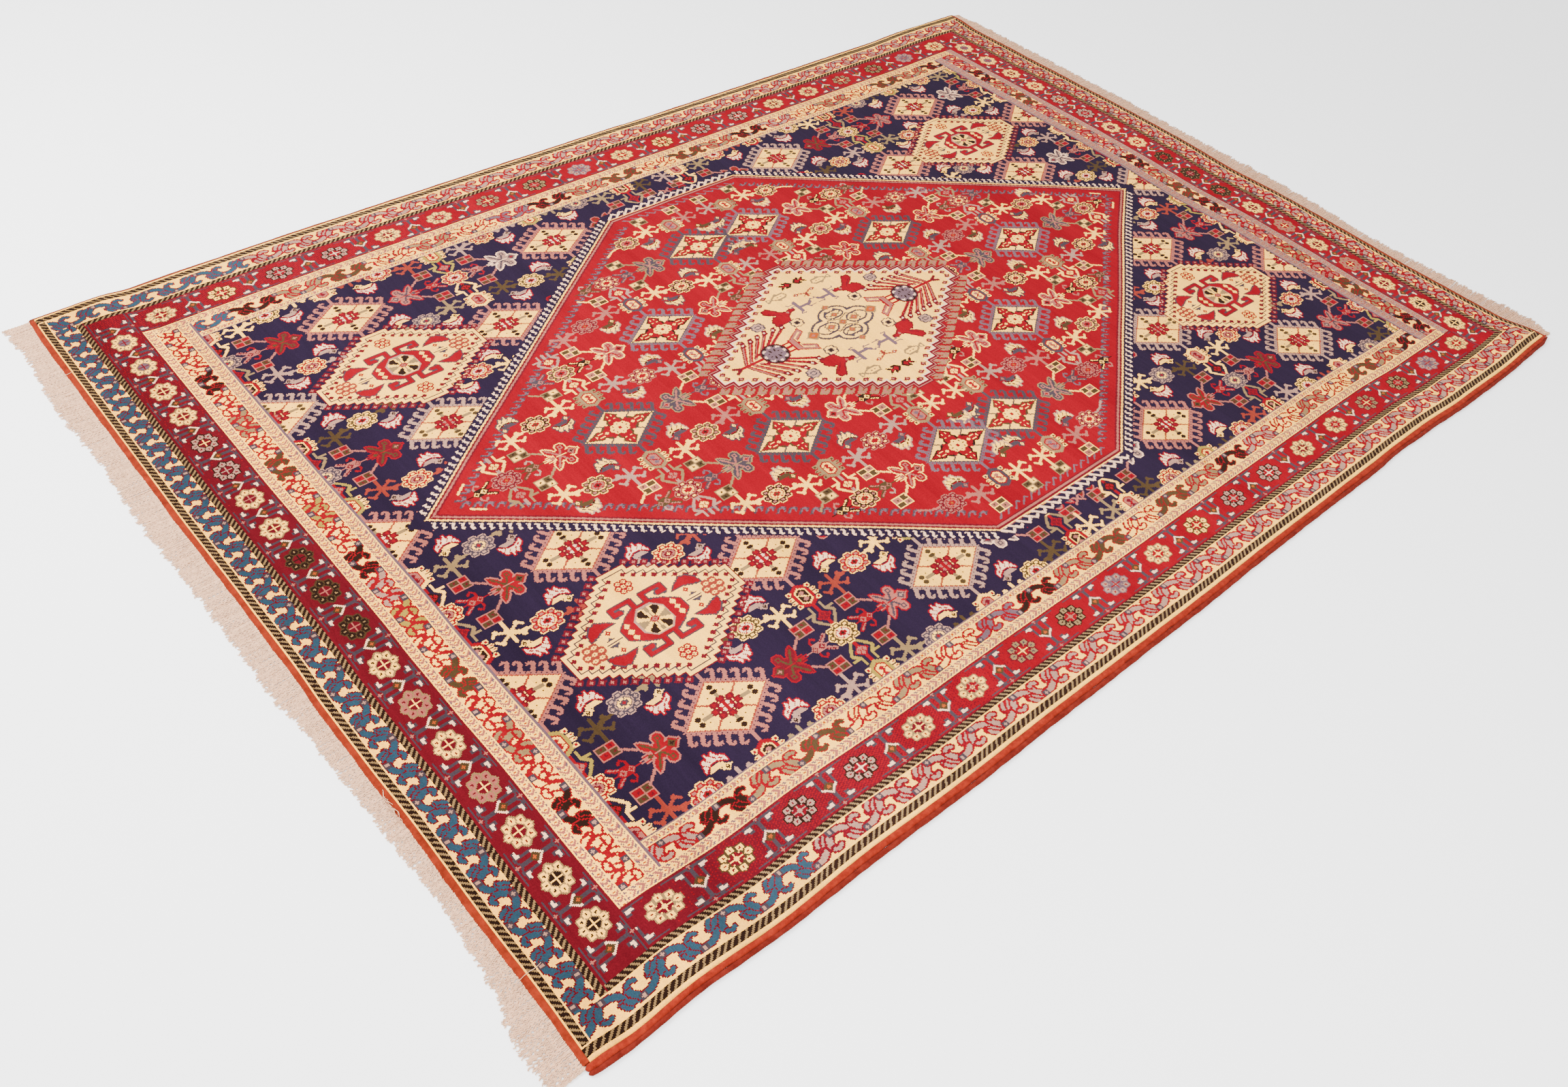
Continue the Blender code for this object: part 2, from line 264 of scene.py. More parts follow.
BIRD = chart((36, 36), """
    w area -25,-3 -23,9 -13,16 -7,27 -2,19 5,28 8,18 16,22 20,11 25,-5 19,3 9,8 -7,9 -17,3; r edge:1;
    f line:2.4 -17,7 -12,11; f line:2.4 -8,13 -3,19; f line:2.4 4,12 10,18; f line:2.4 13,7 17,12;
    h line:2.4 -17,1 -7,7 8,7 18,0; b area -15,-2 -8,4 7,5 15,-1 21,-7 12,-6 4,-7 -4,-8;
    b area -25,-10 -14,-20 -3,-11 -13,-2; e diamond:5,5 -14,-11; b oval:1.6,1.6 -14,-11
    """)
FISH = chart((42, 30), """
    a line/y:3.2 -8,-7 -9,-18 -2,-24 5,-19; b area/y 6,-9 26,-22 32,-18 16,-5;
    b area -19,0 -10,-10 10,-10 20,0 10,10 -10,10; b line:4 -30,0 36,0; h line/y:2.6 11,-10 26,-18;
    h area -16,0 -10,-7.5 -3,0 -10,7.5; h diamond:7,7.5 7,0; b area -13,0 -10,-3.5 -6,0 -10,3.5;
    b diamond:3,3.5 7,0; e oval/y:3.2,3.2 2,-20
    """)
ARMS = chart((36, 32), """
    a line/x:6 14,28 14,15 27,2 8,-20; a line/x:4 17,14 33,13; k line:6 0,-30 0,30; o diamond:17,14 0,1;
    d diamond:13,10.5 0,1; o line:1.6 -7,-4 7,6; o line:1.6 7,-4 -7,6
    """)
OCTAGON = chart((38, 34), """
    f area -18,-20 0,-30 18,-20 22,0 18,20 0,30 -18,20 -22,0; g oval/xy:6,5 23,17 27,5;
    h oval/xy:2.6,2.2 24,16 28,5; r area -14,-13 0,-21 14,-13 14,13 0,21 -14,13;
    i area -11.5,-11 0,-17.5 11.5,-11 11.5,11 0,17.5 -11.5,11; b diamond:7,5 0,-7; b area -7,7 0,12 7,7 0,2;
    r line:2.4 -11,6 11,-6
    """)

# A hooked diamond's hooks: columns run along its side and rows out from it.
DIAMOND_HOOKS = rows("""
ffffffff
.fff....
.fff....
.fff....
.fff....
.fff..f.
.fff.ff.
.ffffff.
..ffff..
""")
# Its frame and its two fillings, as charts.
DIAMOND_FRAME = """
    f line:7 0,-84 0,84; f diamond:98,65 0,0; l diamond:92,61 0,0; c diamond:88,58 0,0;
    l line/xy:4 26,17 46,31;"""
DIAMOND_ON_NAVY = """
    k oval:9,7.4 26,0 -25,0 0,17.5 0,-17.5 18,12.5 18,-12.5 -18,12.5 -18,-12.5; k oval:17,12.5 0,0;
    m oval:3.9,3.4 *25,17.5,18,12.5; m oval:14,10.5 0,0; j oval/xy:3.6,3 6.5,5; g line/y:7 0,25 0,32;
    g line/x:6 35,0 52,0; d oval/x:7,4.6 60,-6 60,6; d oval/y:7.5,4.6 0,35 0,46;
    d oval/xy:1.6,1.6 46,9 17,30"""
DIAMOND_ON_RED = """
    d area/x 0,-19 36,-18 44,-11 52,-15 62,-9 86,0 62,9 52,15 44,11 36,18 0,19;
    d area/y -19,0 -19,26 -13,31 -19,38 -11,46 0,57 11,46 19,38 13,31 19,26 19,0;
    k area/x 0,-14 34,-13 41,-7 51,-11 59,-6 80,0 59,6 51,11 41,7 34,13 0,14;
    k area/y -14,0 -14,24 -8,30 -14,37 -8,44 0,53 8,44 14,37 8,30 14,24 14,0; k line/xy:7 0,0 25,17"""
FLOWER_ON_RED = chart((60, 45), """
    c oval:6.6,6 *17,13,12,9; c oval:13,10 0,0; d oval:2.2,2 *17,13,12,9; k oval:4,3.4 0,0;
    m oval/x:5,3 34,0 62,0; m line/x:2.2 42,-6 54,-6; m line/x:2.2 42,6 54,6;
    m oval/xy:2.6,2.6 6,30 5,41
    """)


def hooked_diamond(on_red):
    """The hooked diamond: hooks, frame, and a cream middle cut in four, with a flower in it."""
    inner = chart((142.5, 105), DIAMOND_FRAME + (DIAMOND_ON_RED if on_red else DIAMOND_ON_NAVY))
    middle = [side // 2 for side in inner.shape]
    if on_red:
        x, y = (side // 2 for side in FLOWER_ON_RED.shape)
        part = inner[middle[0] - x:middle[0] + x + 1, middle[1] - y:middle[1] + y + 1]
        part[FLOWER_ON_RED > 0] = FLOWER_ON_RED[FLOWER_ON_RED > 0]
    grid = np.zeros_like(inner)
    hooks(grid, middle, (38.5, 1.0), (1.5, 25.5), 5, (5.4, 8.2), DIAMOND_HOOKS, to_dye=OWN_LETTER)
    return np.where(inner > 0, inner, grid)


# ---- Colours of the motifs on the two grounds: they change from place to place. ---------------

NAVY_SETS = dict(
    rosette=("oC pR qP iR jW cB", "oC pO qC iR jW cB", "oV pG qV iG jC cR", "oC pR qC iK jP cC"),
    star=("oR bP lG dV", "oR bK lO dP", "oP bR lO dB", "oW bV lG dR"),
    spider=("sT", "sV", "sS", "sC", "sO"),
    check=("cP aR bO eK",),
    bird=("wW rR fR hR bC eB", "wW rR fR hR bV eB"),
    fish=("aR bR hP eR", "aR bP hK eR"),
    arms=("aT kR oR dK", "aC kR oB dR", "aY kR oR dP"),
    octagon=("fR gC hR rC iB bP", "fC gC hR rR iP bK", "fY gC hR rR iC bR"),
    diamond=("fP cC lS kK mR jW dB gT", "fP cC lS kK mR jW dB gT", "fV cC lS kK mR jP dO gT"),
)
RED_SETS = dict(
    rosette=("oC pO qP iR jP cB", "oP pK qC iR jC cR", "oC pB qP iR jC cO", "oP pK qP iR jP cA"),
    star=("oT bG lP dR", "oC bR lP dB", "oC bP lR dB"),
    spider=("sC", "sV", "sC", "sP"),
    check=("cT aC bO eB", "cC aP bO eO"),
    bird=("wC rG fG hB bG eC", "wC rV fG hB bO eC", "wC rV fB hB bG eP"),
    fish=("aL bG hP eL", "aV bO hP eV", "aP bB hC eP"),
    arms=("aC kV oR dC", "aV kV oR dC", "aT kV oR dP"),
    octagon=("fT gT hO rR iC bR", "fG gC hG rR iC bP", "fT gC hO rR iP bL"),
    diamond=("fG cC lG kR mC dO", "fL cC lG kR mC dB"),
)


def lattice(cloth, sets, diamond, within=None):
    """Fill a ground with the field's repeat: rosettes and hooked diamonds take turns on a
    lattice that is mirrored about both middle lines, with the small motifs between them."""
    def put(motif, x, y, name, flip=(1, 1)):
        colours = sets[name][turn % len(sets[name])]
        stamp(cloth, motif, (CENTRE[0] + x, CENTRE[1] + y), colours, flip, within)

    nodes = [(fx * (36 + 112 * c), fy * 88 * r, c, r)
             for c in range(5) for r in range(5) for fx in (1, -1) for fy in ((1, -1) if r else (1,))]
    for x, y, c, r in nodes:
        turn = c + 2 * r + (x > 0) + (y > 0)
        if (c + r) % 2 == 0:
            put(diamond, x, y, "diamond")
            continue
        for fx, fy in QUARTERS:
            turn += 1
            if fx * x > 0 or c > 0:
                corner = ((LINK, 43, 40, "spider"), (SPIDER, 28, 38, "spider"), (CHECK, 24, 19.5, "check"),
                          (BIRD, 37, 56, "bird"), (ROSETTE, 56, 44, "rosette"))
            else:
                corner = ((CHECK, 18, 20, "check"), (SPIDER, 20, 38, "spider"), (BIRD, 29, 62, "bird"))
            for motif, dx, dy, name in corner:
                put(motif, x + fx * dx, y + fy * dy, name, (fx, fy))
        for fy in (1, -1):
            turn += 1
            put(ARMS, x, y + fy * 19, "arms", (1, fy))
            put(OCTAGON, x, y + fy * 42, "octagon", (1, fy))
        for fx in (1, -1):
            turn += 1
            put(STAR, x + fx * 51, y, "star", (fx, 1))
            put(FISH, x + fx * 24, y, "fish", (-fx, 1))
            for fy in (1, -1):
                put(TIE, x + fx * 35, y + fy * 13, "check", (fx, -fy))
        put(ROSETTE, x, y, "rosette")


# Hooks along the great hexagon, white on the navy and grey on the red.
RUNNING_HOOKS = rows("""
.......
WWWW...
..WW...
..WW...
..WW...
..WWWW.
...WW..
""")
GREY_HOOKS = rows("""
........
GG......
GL......
GL...L..
GL..LG..
GLLLLG..
.GLLGG..
""")


def great_hexagon(cloth):
    """The red hexagon on the navy: its lines follow the distance inwards from its edge."""
    x, y = np.mgrid[0:KNOTS_ALONG, 0:KNOTS_ACROSS]
    x, y = np.abs(x - CENTRE[0]), np.abs(y - CENTRE[1])
    inwards = np.minimum(262.0 - 0.586 * x - 0.810 * y, 264.0 - y)

    def slants(letter, most, points, width):
        """Slanted bars, 9.6 knots apart, along the hexagon's two straight sides."""
        for fy in (1, -1):
            for k in range(-most, most + 1):
                bar = [(CENTRE[0] + k * 9.6 + px, CENTRE[1] + fy * py) for px, py in points]
                draw_line(cloth, dye(letter), bar, width)

    cloth[(inwards > -9.5) & (inwards <= -1)] = dye("N")
    hooks(cloth, CENTRE, (444, 3), (84, 264), 62, (4.4, 6.0), RUNNING_HOOKS)
    slants("W", 8, ((-5, 264), (3, 271), (6, 269)), 2.4)
    cloth[(inwards > -1) & (inwards < 0)] = dye("N")
    for depth, letter in ((0, "C"), (1.6, "K"), (3.4, "P"), (5.2, "K"), (6.8, "R")):
        cloth[inwards > depth] = dye(letter)
    hooks(cloth, CENTRE, (420, 5), (80, 250), 46, (-8.0, -5.6), GREY_HOOKS)
    slants("L", 7, ((-4, 255), (3, 249), (5, 251)), 1.6)
    return inwards


MEDALLION = chart((140, 100), """
    G line/xy:14.5 13,38 13,60 56,60 56,44 42,46;
    G area -71,14 -71,-14 -42,-35 -22,-44 22,-44 42,-35 71,-14 71,14 42,35 22,44 -22,44 -42,35;
    G area/xy 61,31 79,46 96,56 113,54 126,40 130,19 112,23 94,30;
    R line/xy:9.5 13,38 13,60 56,60 56,45 43,46;
    R area -68,13 -68,-13 -40,-33 -20,-41 20,-41 40,-33 68,-13 68,13 40,33 20,41 -20,41 -40,33;
    R area/xy 67,33 80,43 97,53 111,51 123,38 127,23 113,26 95,33;
    V area -35,-15 -16,-35 16,-35 35,-15 35,15 16,35 -16,35 -35,15;
    C area -32,-14 -14,-32 14,-32 32,-14 32,14 14,32 -14,32 -32,14; B area/xy 6,5 25,18 21,27 9,30;
    T area/x 8,0 31,-10 31,10; T area/y 0,8 -5,30 5,30; R diamond:12,9 0,0; P diamond:8,6 0,0;
    R oval:2,2 0,0; C diamond/x:7,7 53,-14; C diamond/x:7,7 53,0; C diamond/x:7,7 53,14;
    G area/xy 84,5 106,5 95,14; G line/x:2.4 74,0 108,0; R diamond/xy:7,6 90,22; C oval/xy:1.5,1.5 90,22.5
    """)


def honeycomb(k):
    """Seven cream cells in a coloured patch; k is its size."""
    cells = [(0, 0), (15, 0), (-15, 0), (7.5, 12.5), (-7.5, 12.5), (7.5, -12.5), (-7.5, -12.5)]
    cells = " ".join(f"{x * k},{y * k}" for x, y in cells)
    return chart((30 * k, 26 * k), f"""h oval:{9.6 * k},{9 * k} {cells};
        C oval:{5.4 * k},{4.6 * k} {cells}; h oval:1.4,1.4 {cells}""")


def medallion(cloth, x, y):
    """A corner medallion: stepped cream lozenge, chain of small lozenges, latch-hooked octagon."""
    middle = (95, 72)
    part = cloth[x - middle[0]:x + middle[0] + 1, y - middle[1]:y + middle[1] + 1]
    steps = ((12.8, 11.0), (6.4, 4.3), 10)
    core = stairs(part.shape, middle, *steps)
    part[grown(core, 1)] = dye("K")
    for px, py, _ in step_places(middle, *steps, (-2, -2.5)):
        draw_area(part, dye("K"), lozenge(px, py, 4.2, 3.4))
        draw_oval(part, dye("P"), (round(px), round(py)), (1.3, 1.2))
    part[core] = dye("C")
    part[~grown(~core, 3)] = dye("G")
    part[~grown(~core, 4)] = dye("C")
    for px, py, _ in step_places(middle, *steps, (6, 7.5)):
        draw_area(part, dye("K"), lozenge(px, py, 2.8, 2.5))
    stamp(part, MEDALLION, middle)
    for side in (1, -1):
        stamp(part, honeycomb(1.0), (middle[0] + side * 55, middle[1]), "hS")
        stamp(part, honeycomb(0.78), (middle[0], middle[1] + side * 37), "hR")


CENTRE_HOOKS = rows("""
TTTTTTTTTTT
TPPTRRRRRRR
TPPTRRRRRRR
TPPTRRRRRRR
TPPTRRTTRRR
TPPTRTPTRRR
TPPTTTPTRRR
TPPPPPPTRRR
TTTTTTTRRRR
""")

FLOWER = chart((24, 20), """
    G oval:7.5,6.5 *11,10,8,8; c oval:4.5,3.8 *11,10,8,8; m oval:5,4.5 0,0
    """)
BIG_FLOWER = chart((44, 40), """
    K oval:37,34 0,0; B oval:34,31 0,0; L oval:9,8 *23,21,17,15; W oval:4.5,4 *26,24,19,17;
    L line/xy:5 0,0 18,14; L line:6 0,-18 0,18; L line:6 -22,0 22,0
    """)
# The weaver's own small creatures for the middle lozenge.
STAG = chart((50, 42), """
    K oval:26,18 -12,16;
    K area -8,2 -22,-4 -34,10 -40,30 -32,36 -20,22 -8,24 -2,36 8,34 10,20 28,8 44,4 42,-6 30,-8 18,-4 8,-8
      -2,-20 -16,-38 -34,-36 -38,-22 -26,-10; R oval:23,15 -12,16;
    R area -8,6 -22,0 -31,12 -36,29 -32,31 -22,18 -7,19 0,32 5,30 6,17 26,4 40,1 38,-3 28,-4 18,0 6,-4
      -5,-18 -18,-34 -31,-33 -34,-22 -20,-10; P oval:4.5,3.5 20,2; K line:2.6 -24,-18 -12,-8 0,2
    """)
HOUND = chart((44, 34), """
    L line:9 -16,-20 -16,16; L line:8 -16,2 14,4 22,-2; L line:3 -16,-16 -36,-14 -40,-20;
    L line:3 -18,-8 -34,-6; L line:4 -16,14 -24,24 -14,26; L line:3 14,4 28,-10 34,-6;
    L line:3 6,4 12,14 30,12
    """)
CRAB = chart((26, 20), """
    S line:4 -16,-12 -18,0 -6,4 0,8 14,6; K line:3 -18,-2 -8,-8; S oval:6,5 8,6; W oval:2,2 8,6
    """)
MINNOW = chart((36, 22), """
    T area -32,-2 -22,-12 -10,-10 -4,-16 4,-10 16,-4 30,-10 32,8 18,2 4,10 -4,16 -12,10 -24,12;
    C area -27,-1 -20,-7 -8,-6 2,-6 14,-1 2,6 -10,6 -21,7; G oval:2.6,2.6 -14,0 -4,0; C oval:3.4,3 25,0
    """)
WREN = chart((24, 18), """
    B area -20,0 -8,-12 4,-12 2,-3 14,-10 20,-12 12,0 20,12 2,4 4,13 -8,12;
    R area -14,0 -6,-8 0,-2 10,-4 8,0 12,6 0,2 -6,9
    """)


def middle_diamond(cloth):
    """The cream lozenge in the middle: hooks, steps, and generic traditional figures in it."""
    steps = ((8.0, 10.4), (10.4, 6.75), 14)
    x, y = np.mgrid[0:cloth.shape[0], 0:cloth.shape[1]]
    x, y = x - CENTRE[0], y - CENTRE[1]
    core = stairs(cloth.shape, CENTRE, *steps)
    band = (np.abs(x) / 192.0 + np.abs(y) / 136.5 <= 1.0) & (np.abs(y) > 3 * (np.abs(x) > 150))
    hooks(cloth, CENTRE, (151, 6), (3, 102), 16, (13.0, 9.0), CENTRE_HOOKS, within=band)
    for depth, letter in ((2, "K"), (1, "P")):
        cloth[grown(core, depth)] = dye(letter)
    cloth[core] = dye("K")
    cloth[~grown(~core, 2)] = dye("W")
    cloth[~grown(~core, 4)] = dye("C")
    for px, py, fx in step_places(CENTRE, *steps, (9, 7)):
        draw_line(cloth, dye("G"), [(px + fx * 4, py), (px, py)], 1.0)
        draw_area(cloth, dye("K"), lozenge(px, py, 4, 3))
        draw_oval(cloth, dye("P"), (round(px), round(py)), (1.2, 1.0))

    def knots(points, fx=1, fy=1):
        """Places in the cloth of points in mm from its middle."""
        return [(CENTRE[0] + fx * px / KNOT, CENTRE[1] + fy * py / KNOT) for px, py in points]

    def line(letter, points, width):
        for quarter in QUARTERS:
            draw_line(cloth, dye(letter), knots(points, *quarter), width / KNOT)

    for letter, grow in (("G", 0), ("C", -6), ("G", -16), ("C", -21)):
        for ox, oy, a, b in ((46, 0, 48, 36), (0, 34, 46, 32)):
            for side in (1, -1):
                draw_oval(cloth, dye(letter), knots(((ox, oy),), side, side)[0],
                          ((a + grow) / KNOT, (b + grow) / KNOT))
    line("G", ((0, 12), (28, 22), (52, 8), (44, -4), (30, 2)), 3)
    line("G", ((10, 30), (26, 40), (14, 52), (6, 44)), 3)
    for px, py, a, b in ((0, 0, 14, 11), (0, 32, 13, 10), (0, -32, 13, 10), (0, 66, 13, 10),
                         (0, -66, 13, 10), (37, 0, 16, 11), (-37, 0, 16, 11), (94, 0, 21, 18),
                         (-94, 0, 21, 18)):
        for letter, share in (("T", 1.0), ("A", 0.72), ("P", 0.3)):
            draw_area(cloth, dye(letter), knots(lozenge(px, py, a * share, b * share)))
    for k in range(6):
        start, end = 296 - 17 * k, 262 - 24 * k
        rise = 68 - 3 * abs(k - 3)
        line("P", ((start, 2 + 4 * k), (end, rise)), 8)
        line("R", ((start - 5, 5 + 4 * k), (end - 5, rise)), 4.6)
        line("K", ((start + 4, 2 + 4 * k), (end + 4, rise)), 3.0)
        tip = [(end + px, rise + py) for px, py in ((9, -4), (-10, -2), (-14, 14), (-2, 14))]
        for quarter in QUARTERS:
            draw_area(cloth, dye("K"), knots(tip, *quarter))
            draw_oval(cloth, dye("W"), knots(((end - 4, rise + 5),), *quarter)[0], (1.3, 1.1))
    line("R", ((140, 0), (320, 0)), 9)
    line("K", ((314, 0), (330, 9)), 8)
    line("R", ((150, 14), (184, 14)), 5)
    for side in (1, -1):
        stamp(cloth, BIG_FLOWER, knots(((212, 0),), side)[0])
        for letter, px, qx, py in (("R", 140, 160, 22), ("P", 143, 157, 18)):
            draw_area(cloth, dye(letter), knots(((px, -py), (qx, -py), (qx, py), (px, py)), side))
    line("P", ((146, 20), (112, 40), (112, 26), (136, 12)), 8)
    line("R", ((150, 22), (110, 44), (108, 26), (138, 8)), 2.6)
    for fx, fy in QUARTERS:
        for motif, px, py, turned, colours in (
                (STAG, 108, 106, -1, ""), (HOUND, 36, 106, -1, ""), (CRAB, 18, 137, 1, ""),
                (MINNOW, 72, 163, 1, ""), (WREN, 22, 188, 1, ""), (FLOWER, 95, 60, None, "cC mB"),
                (FLOWER, 184, 98, None, "cV mV")):
            flip = (turned * fx, turned * fy) if turned else (1, 1)
            stamp(cloth, motif, knots(((px, py),), fx, fy)[0], colours, flip)


# ---- The borders, drawn as straight strips, [along the strip, in from the outer edge]. --------

def barber(strip, start, end, period, slope, share):
    """Brown and tan slants between two depths: brown where (u + slope v) mod period is under
    that share of it."""
    u, v = np.mgrid[0:strip.shape[0], 0:end - start]
    slant = ((u + slope * v) / period) % 1.0
    strip[:, start:end] = np.where(slant < share, dye("B"), dye("T"))


def leaf_band(strip, start, depth, period, fills, rim):
    """A leaf scroll: small squares stand on the two edges by turns. A stem runs from each to the
    middle, where two leaves that rise from the next one part round it, each with a curled tip;
    every second group is turned over. Fills has a dye for each group in turn."""
    part = strip[:, start:start + depth]
    part[:] = dye("C")
    groups = int(round(len(strip) / period * 2))
    half = len(strip) / groups
    k, h = half / 21.0, (depth - 1) / 16.0
    shapes = (
        (((0.0, 2.0), (5.0, 2.4), (9.0, 4.2), (12.5, 8.0)), 4.4),
        (((20.5, 14.2), (15.0, 12.6), (11.0, 11.2), (8.6, 10.2)), 4.6),
        (((8.6, 11.0), (9.6, 13.6), (12.0, 15.6)), 2.6),
        (((20.5, 14.0), (16.5, 9.0), (15.2, 5.6), (16.4, 3.4)), 4.4),
        (((16.0, 3.0), (19.0, 1.6), (21.5, 3.2)), 2.8),
    )
    for n in range(-1, groups + 2):
        letter = fills[max(n, 0) % len(fills)]
        outline = 3.3 if letter in "CVPWTLY" else 1.6
        for points, width in shapes:
            place = [(n * half + px * k, (depth - 1 - py * h) if n % 2 else py * h) for px, py in points]
            draw_line(part, dye(rim), place, width + outline)
            draw_line(part, dye(letter), place, width)
    for n in range(-1, groups + 2):
        u, v = n * half, (depth - 3) if n % 2 else 2
        low, high = (u - 2.6, v - 2.6), (u + 2.6, v + 2.6)
        draw_area(part, dye("G"), [low, (high[0], low[1]), high, (low[0], high[1])])
        draw_oval(part, dye("V"), (u, v), (1.3, 1.3))


def border_rosette(rx, ry):
    """Eight lobes round a flower of eight petals, radii in mm."""
    ring, petals = (" ".join(f"{a * rx * np.cos(t)},{b * ry * np.sin(t)}"
                             for t in (np.arange(8) + turn) * np.pi / 4)
                    for a, b, turn in ((1, 1, 0), (0.37, 0.40, 0.5)))
    return chart((rx + 14, ry + 13), f"""
        o oval:10.2,8.6 {ring}; b oval:7.4,6.2 {ring}; o oval:{0.68 * rx},{0.68 * ry} 0,0;
        b oval:{0.58 * rx},{0.58 * ry} 0,0; d oval:2.6,2.3 {ring}; g oval:4.9,4.2 {petals};
        p line:1.6 {-0.5 * rx},0 {0.5 * rx},0; p line:1.6 0,{-0.5 * ry} 0,{0.5 * ry};
        p oval:2.8,2.4 0,0""")


def bracket(scale):
    """Between two rosettes: a bar across the border through a brown lozenge and a white
    chevron, and four cream L-hooks at its corners. `scale` widens it along the border."""
    return chart((40 * scale, 44), """
        g line:5.5 0,-30 0,30; g line/xy:3 0,28 8,33 18,36; g line/x:4 15,-28 15,-4 0,9;
        g box/xy 13,20 29,34; w area/xy 15,23 21,23 21,27 29,27 25,32 15,32; R box/xy 22,19 30,25;
        b diamond:12,10 0,-4; a diamond:4,4 0,-4; w line/x:3.6 14,-5 0,9;
        p line/y:3 -3,37 3,37; p line/y:3 0,34 0,40
        """, scale)


SIDE_ROSETTES = ("oT bC dR gR pC", "oO bC dR gR pC", "oB bV dK gR pV", "oB bV dR gR pW", "oT bC dR gK pC",
                 "oT bC dK gR pP", "oK bT dG gR pC", "oB bT dB gR pP", "oL bV dR gL pR")
END_ROSETTES = ("oT bC dG gL pR", "oT bC dD gL pR", "oT bC dR gK pC", "oT bC dR gR pC", "oB bV dR gR pC",
                "oB bV dK gR pV", "oT bC dR gK pP", "oT bC dR gR pC", "oO bB dT gR pB", "oO bB dT gK pP",
                "oO bB dT gR pP", "oT bC dB gK pC", "oT bP dR gR pC", "oT bC dR gK pC", "oT bP dR gR pC",
                "oT bC dR gK pC", "oT bC dB gB pC", "oT bC dB gB pC")


def red_border(strip, start, depth, count, rosette, between, first, last, sets):
    """The main border: rosettes with a bracket between each two, and notched frame lines."""
    strip[:, start:start + depth] = dye("R")
    strip[:, start + 1] = strip[:, start + depth - 2] = dye("G")
    middle = start + (depth - 1) / 2
    pitch = (last - first) / (count - 1)
    for n in range(count):
        u = first + n * pitch
        for v in (start + 1, start + depth - 2):
            strip[int(u) - 6:int(u) + 7, v] = dye("R")
        stamp(strip, rosette, (u, middle), sets[n % len(sets)])
    for n in range(-1, count):
        flip = (1, 1 if n % 2 else -1)
        stamp(strip, between, (first + (n + 0.5) * pitch, middle), "gG wW bO aA pP", flip)


def guard(strip, start, depth, period, ground):
    """A guard filled with small slants, pink and lilac by turns, that meet in chevrons on
    its middle line, with an orange dot where they meet."""
    u, v = np.mgrid[0:strip.shape[0], 0:depth]
    part = strip[:, start:start + depth]
    part[:] = dye(ground)
    level = np.abs(v - (depth - 1) / 2)
    turn = ((u + level) / period) % 1.0
    part[(turn < 0.36) & (level < depth / 2 - 0.6)] = dye("P")
    part[(turn > 0.5) & (turn < 0.76) & (level > depth * 0.22) & (level < depth / 2 - 0.6)] = dye("L")
    part[(turn > 0.6) & (turn < 0.8) & (level < 1)] = dye("A")


SIDE_LEAVES = "CCCCVVBBTTOOCCTTCCLLBBTTOOCCOOTTBBVVCCTTCCOOTTBBCCCC"
NEAR_LEAVES = "CCCCCCCCCBBCCTTCCOOCCYYCCBBVVYYCCOOCCTTCCBBCCCCCCCC"
FAR_LEAVES = "PPPPPPPBBTTOOPPTTPPVVBBTTOOBBVVPPTTPPOOTTBBPPPPP"


def side_strip(fills):
    """The borders along a long side, the whole length of the rug."""
    strip = np.full((KNOTS_ALONG, SIDE_DEPTH), dye("C"), np.uint8)
    barber(strip, 3, 9, 5.2, -0.9, 0.62)
    leaf_band(strip, 11, 18, 45.4, "D" * 8 + "V" * 50, "R")
    barber(strip, 30, 35, 5.0, 0.9, 0.6)
    red_border(strip, 36, 32, 19, border_rosette(24.5, 19), bracket(1.1), 88, 1098, SIDE_ROSETTES)
    strip[:, 35] = strip[:, 68] = dye("K")
    guard(strip, 69, 9, 6.6, "C")
    leaf_band(strip, 78, 17, 45.4, fills, "R")
    guard(strip, 95, 6, 6.6, "C")
    strip[:, 101] = dye("L")
    return strip


def end_strip(outer, rim, inner, period, ground):
    """The borders at an end, between the long sides' own: the dye and rim of the outer leaves,
    the dyes of the inner ones with the period of their scroll, and the ground of the guards."""
    strip = np.full((KNOTS_ACROSS, END_DEPTH), dye("C"), np.uint8)
    barber(strip, 1, 6, 4.8, -0.9, 0.62)
    leaf_band(strip, 7, 18, 34.0, outer, rim)
    barber(strip, 25, 30, 4.8, 0.9, 0.6)
    red_border(strip, 31, 34, 18, border_rosette(20.5, 19), bracket(0.88), 75, 752, END_ROSETTES)
    strip[:, 30] = strip[:, 65] = dye("K")
    guard(strip, 66, 8, 5.6, ground)
    leaf_band(strip, 74, 18, period, inner, "R")
    guard(strip, 92, 10, 5.6, ground)
    strip[:, 102:] = dye("L")
    return strip


SIDE_BANDS = ((0, 30, 0), (30, 36, 25), (36, 69, 65), (69, 78, 66), (78, 95, 92), (95, SIDE_DEPTH, 92))
END_BANDS = ((0, 7, 10), (7, 25, 29), (25, 31, 30), (31, 66, 35), (66, 74, 69), (74, END_DEPTH, 78))


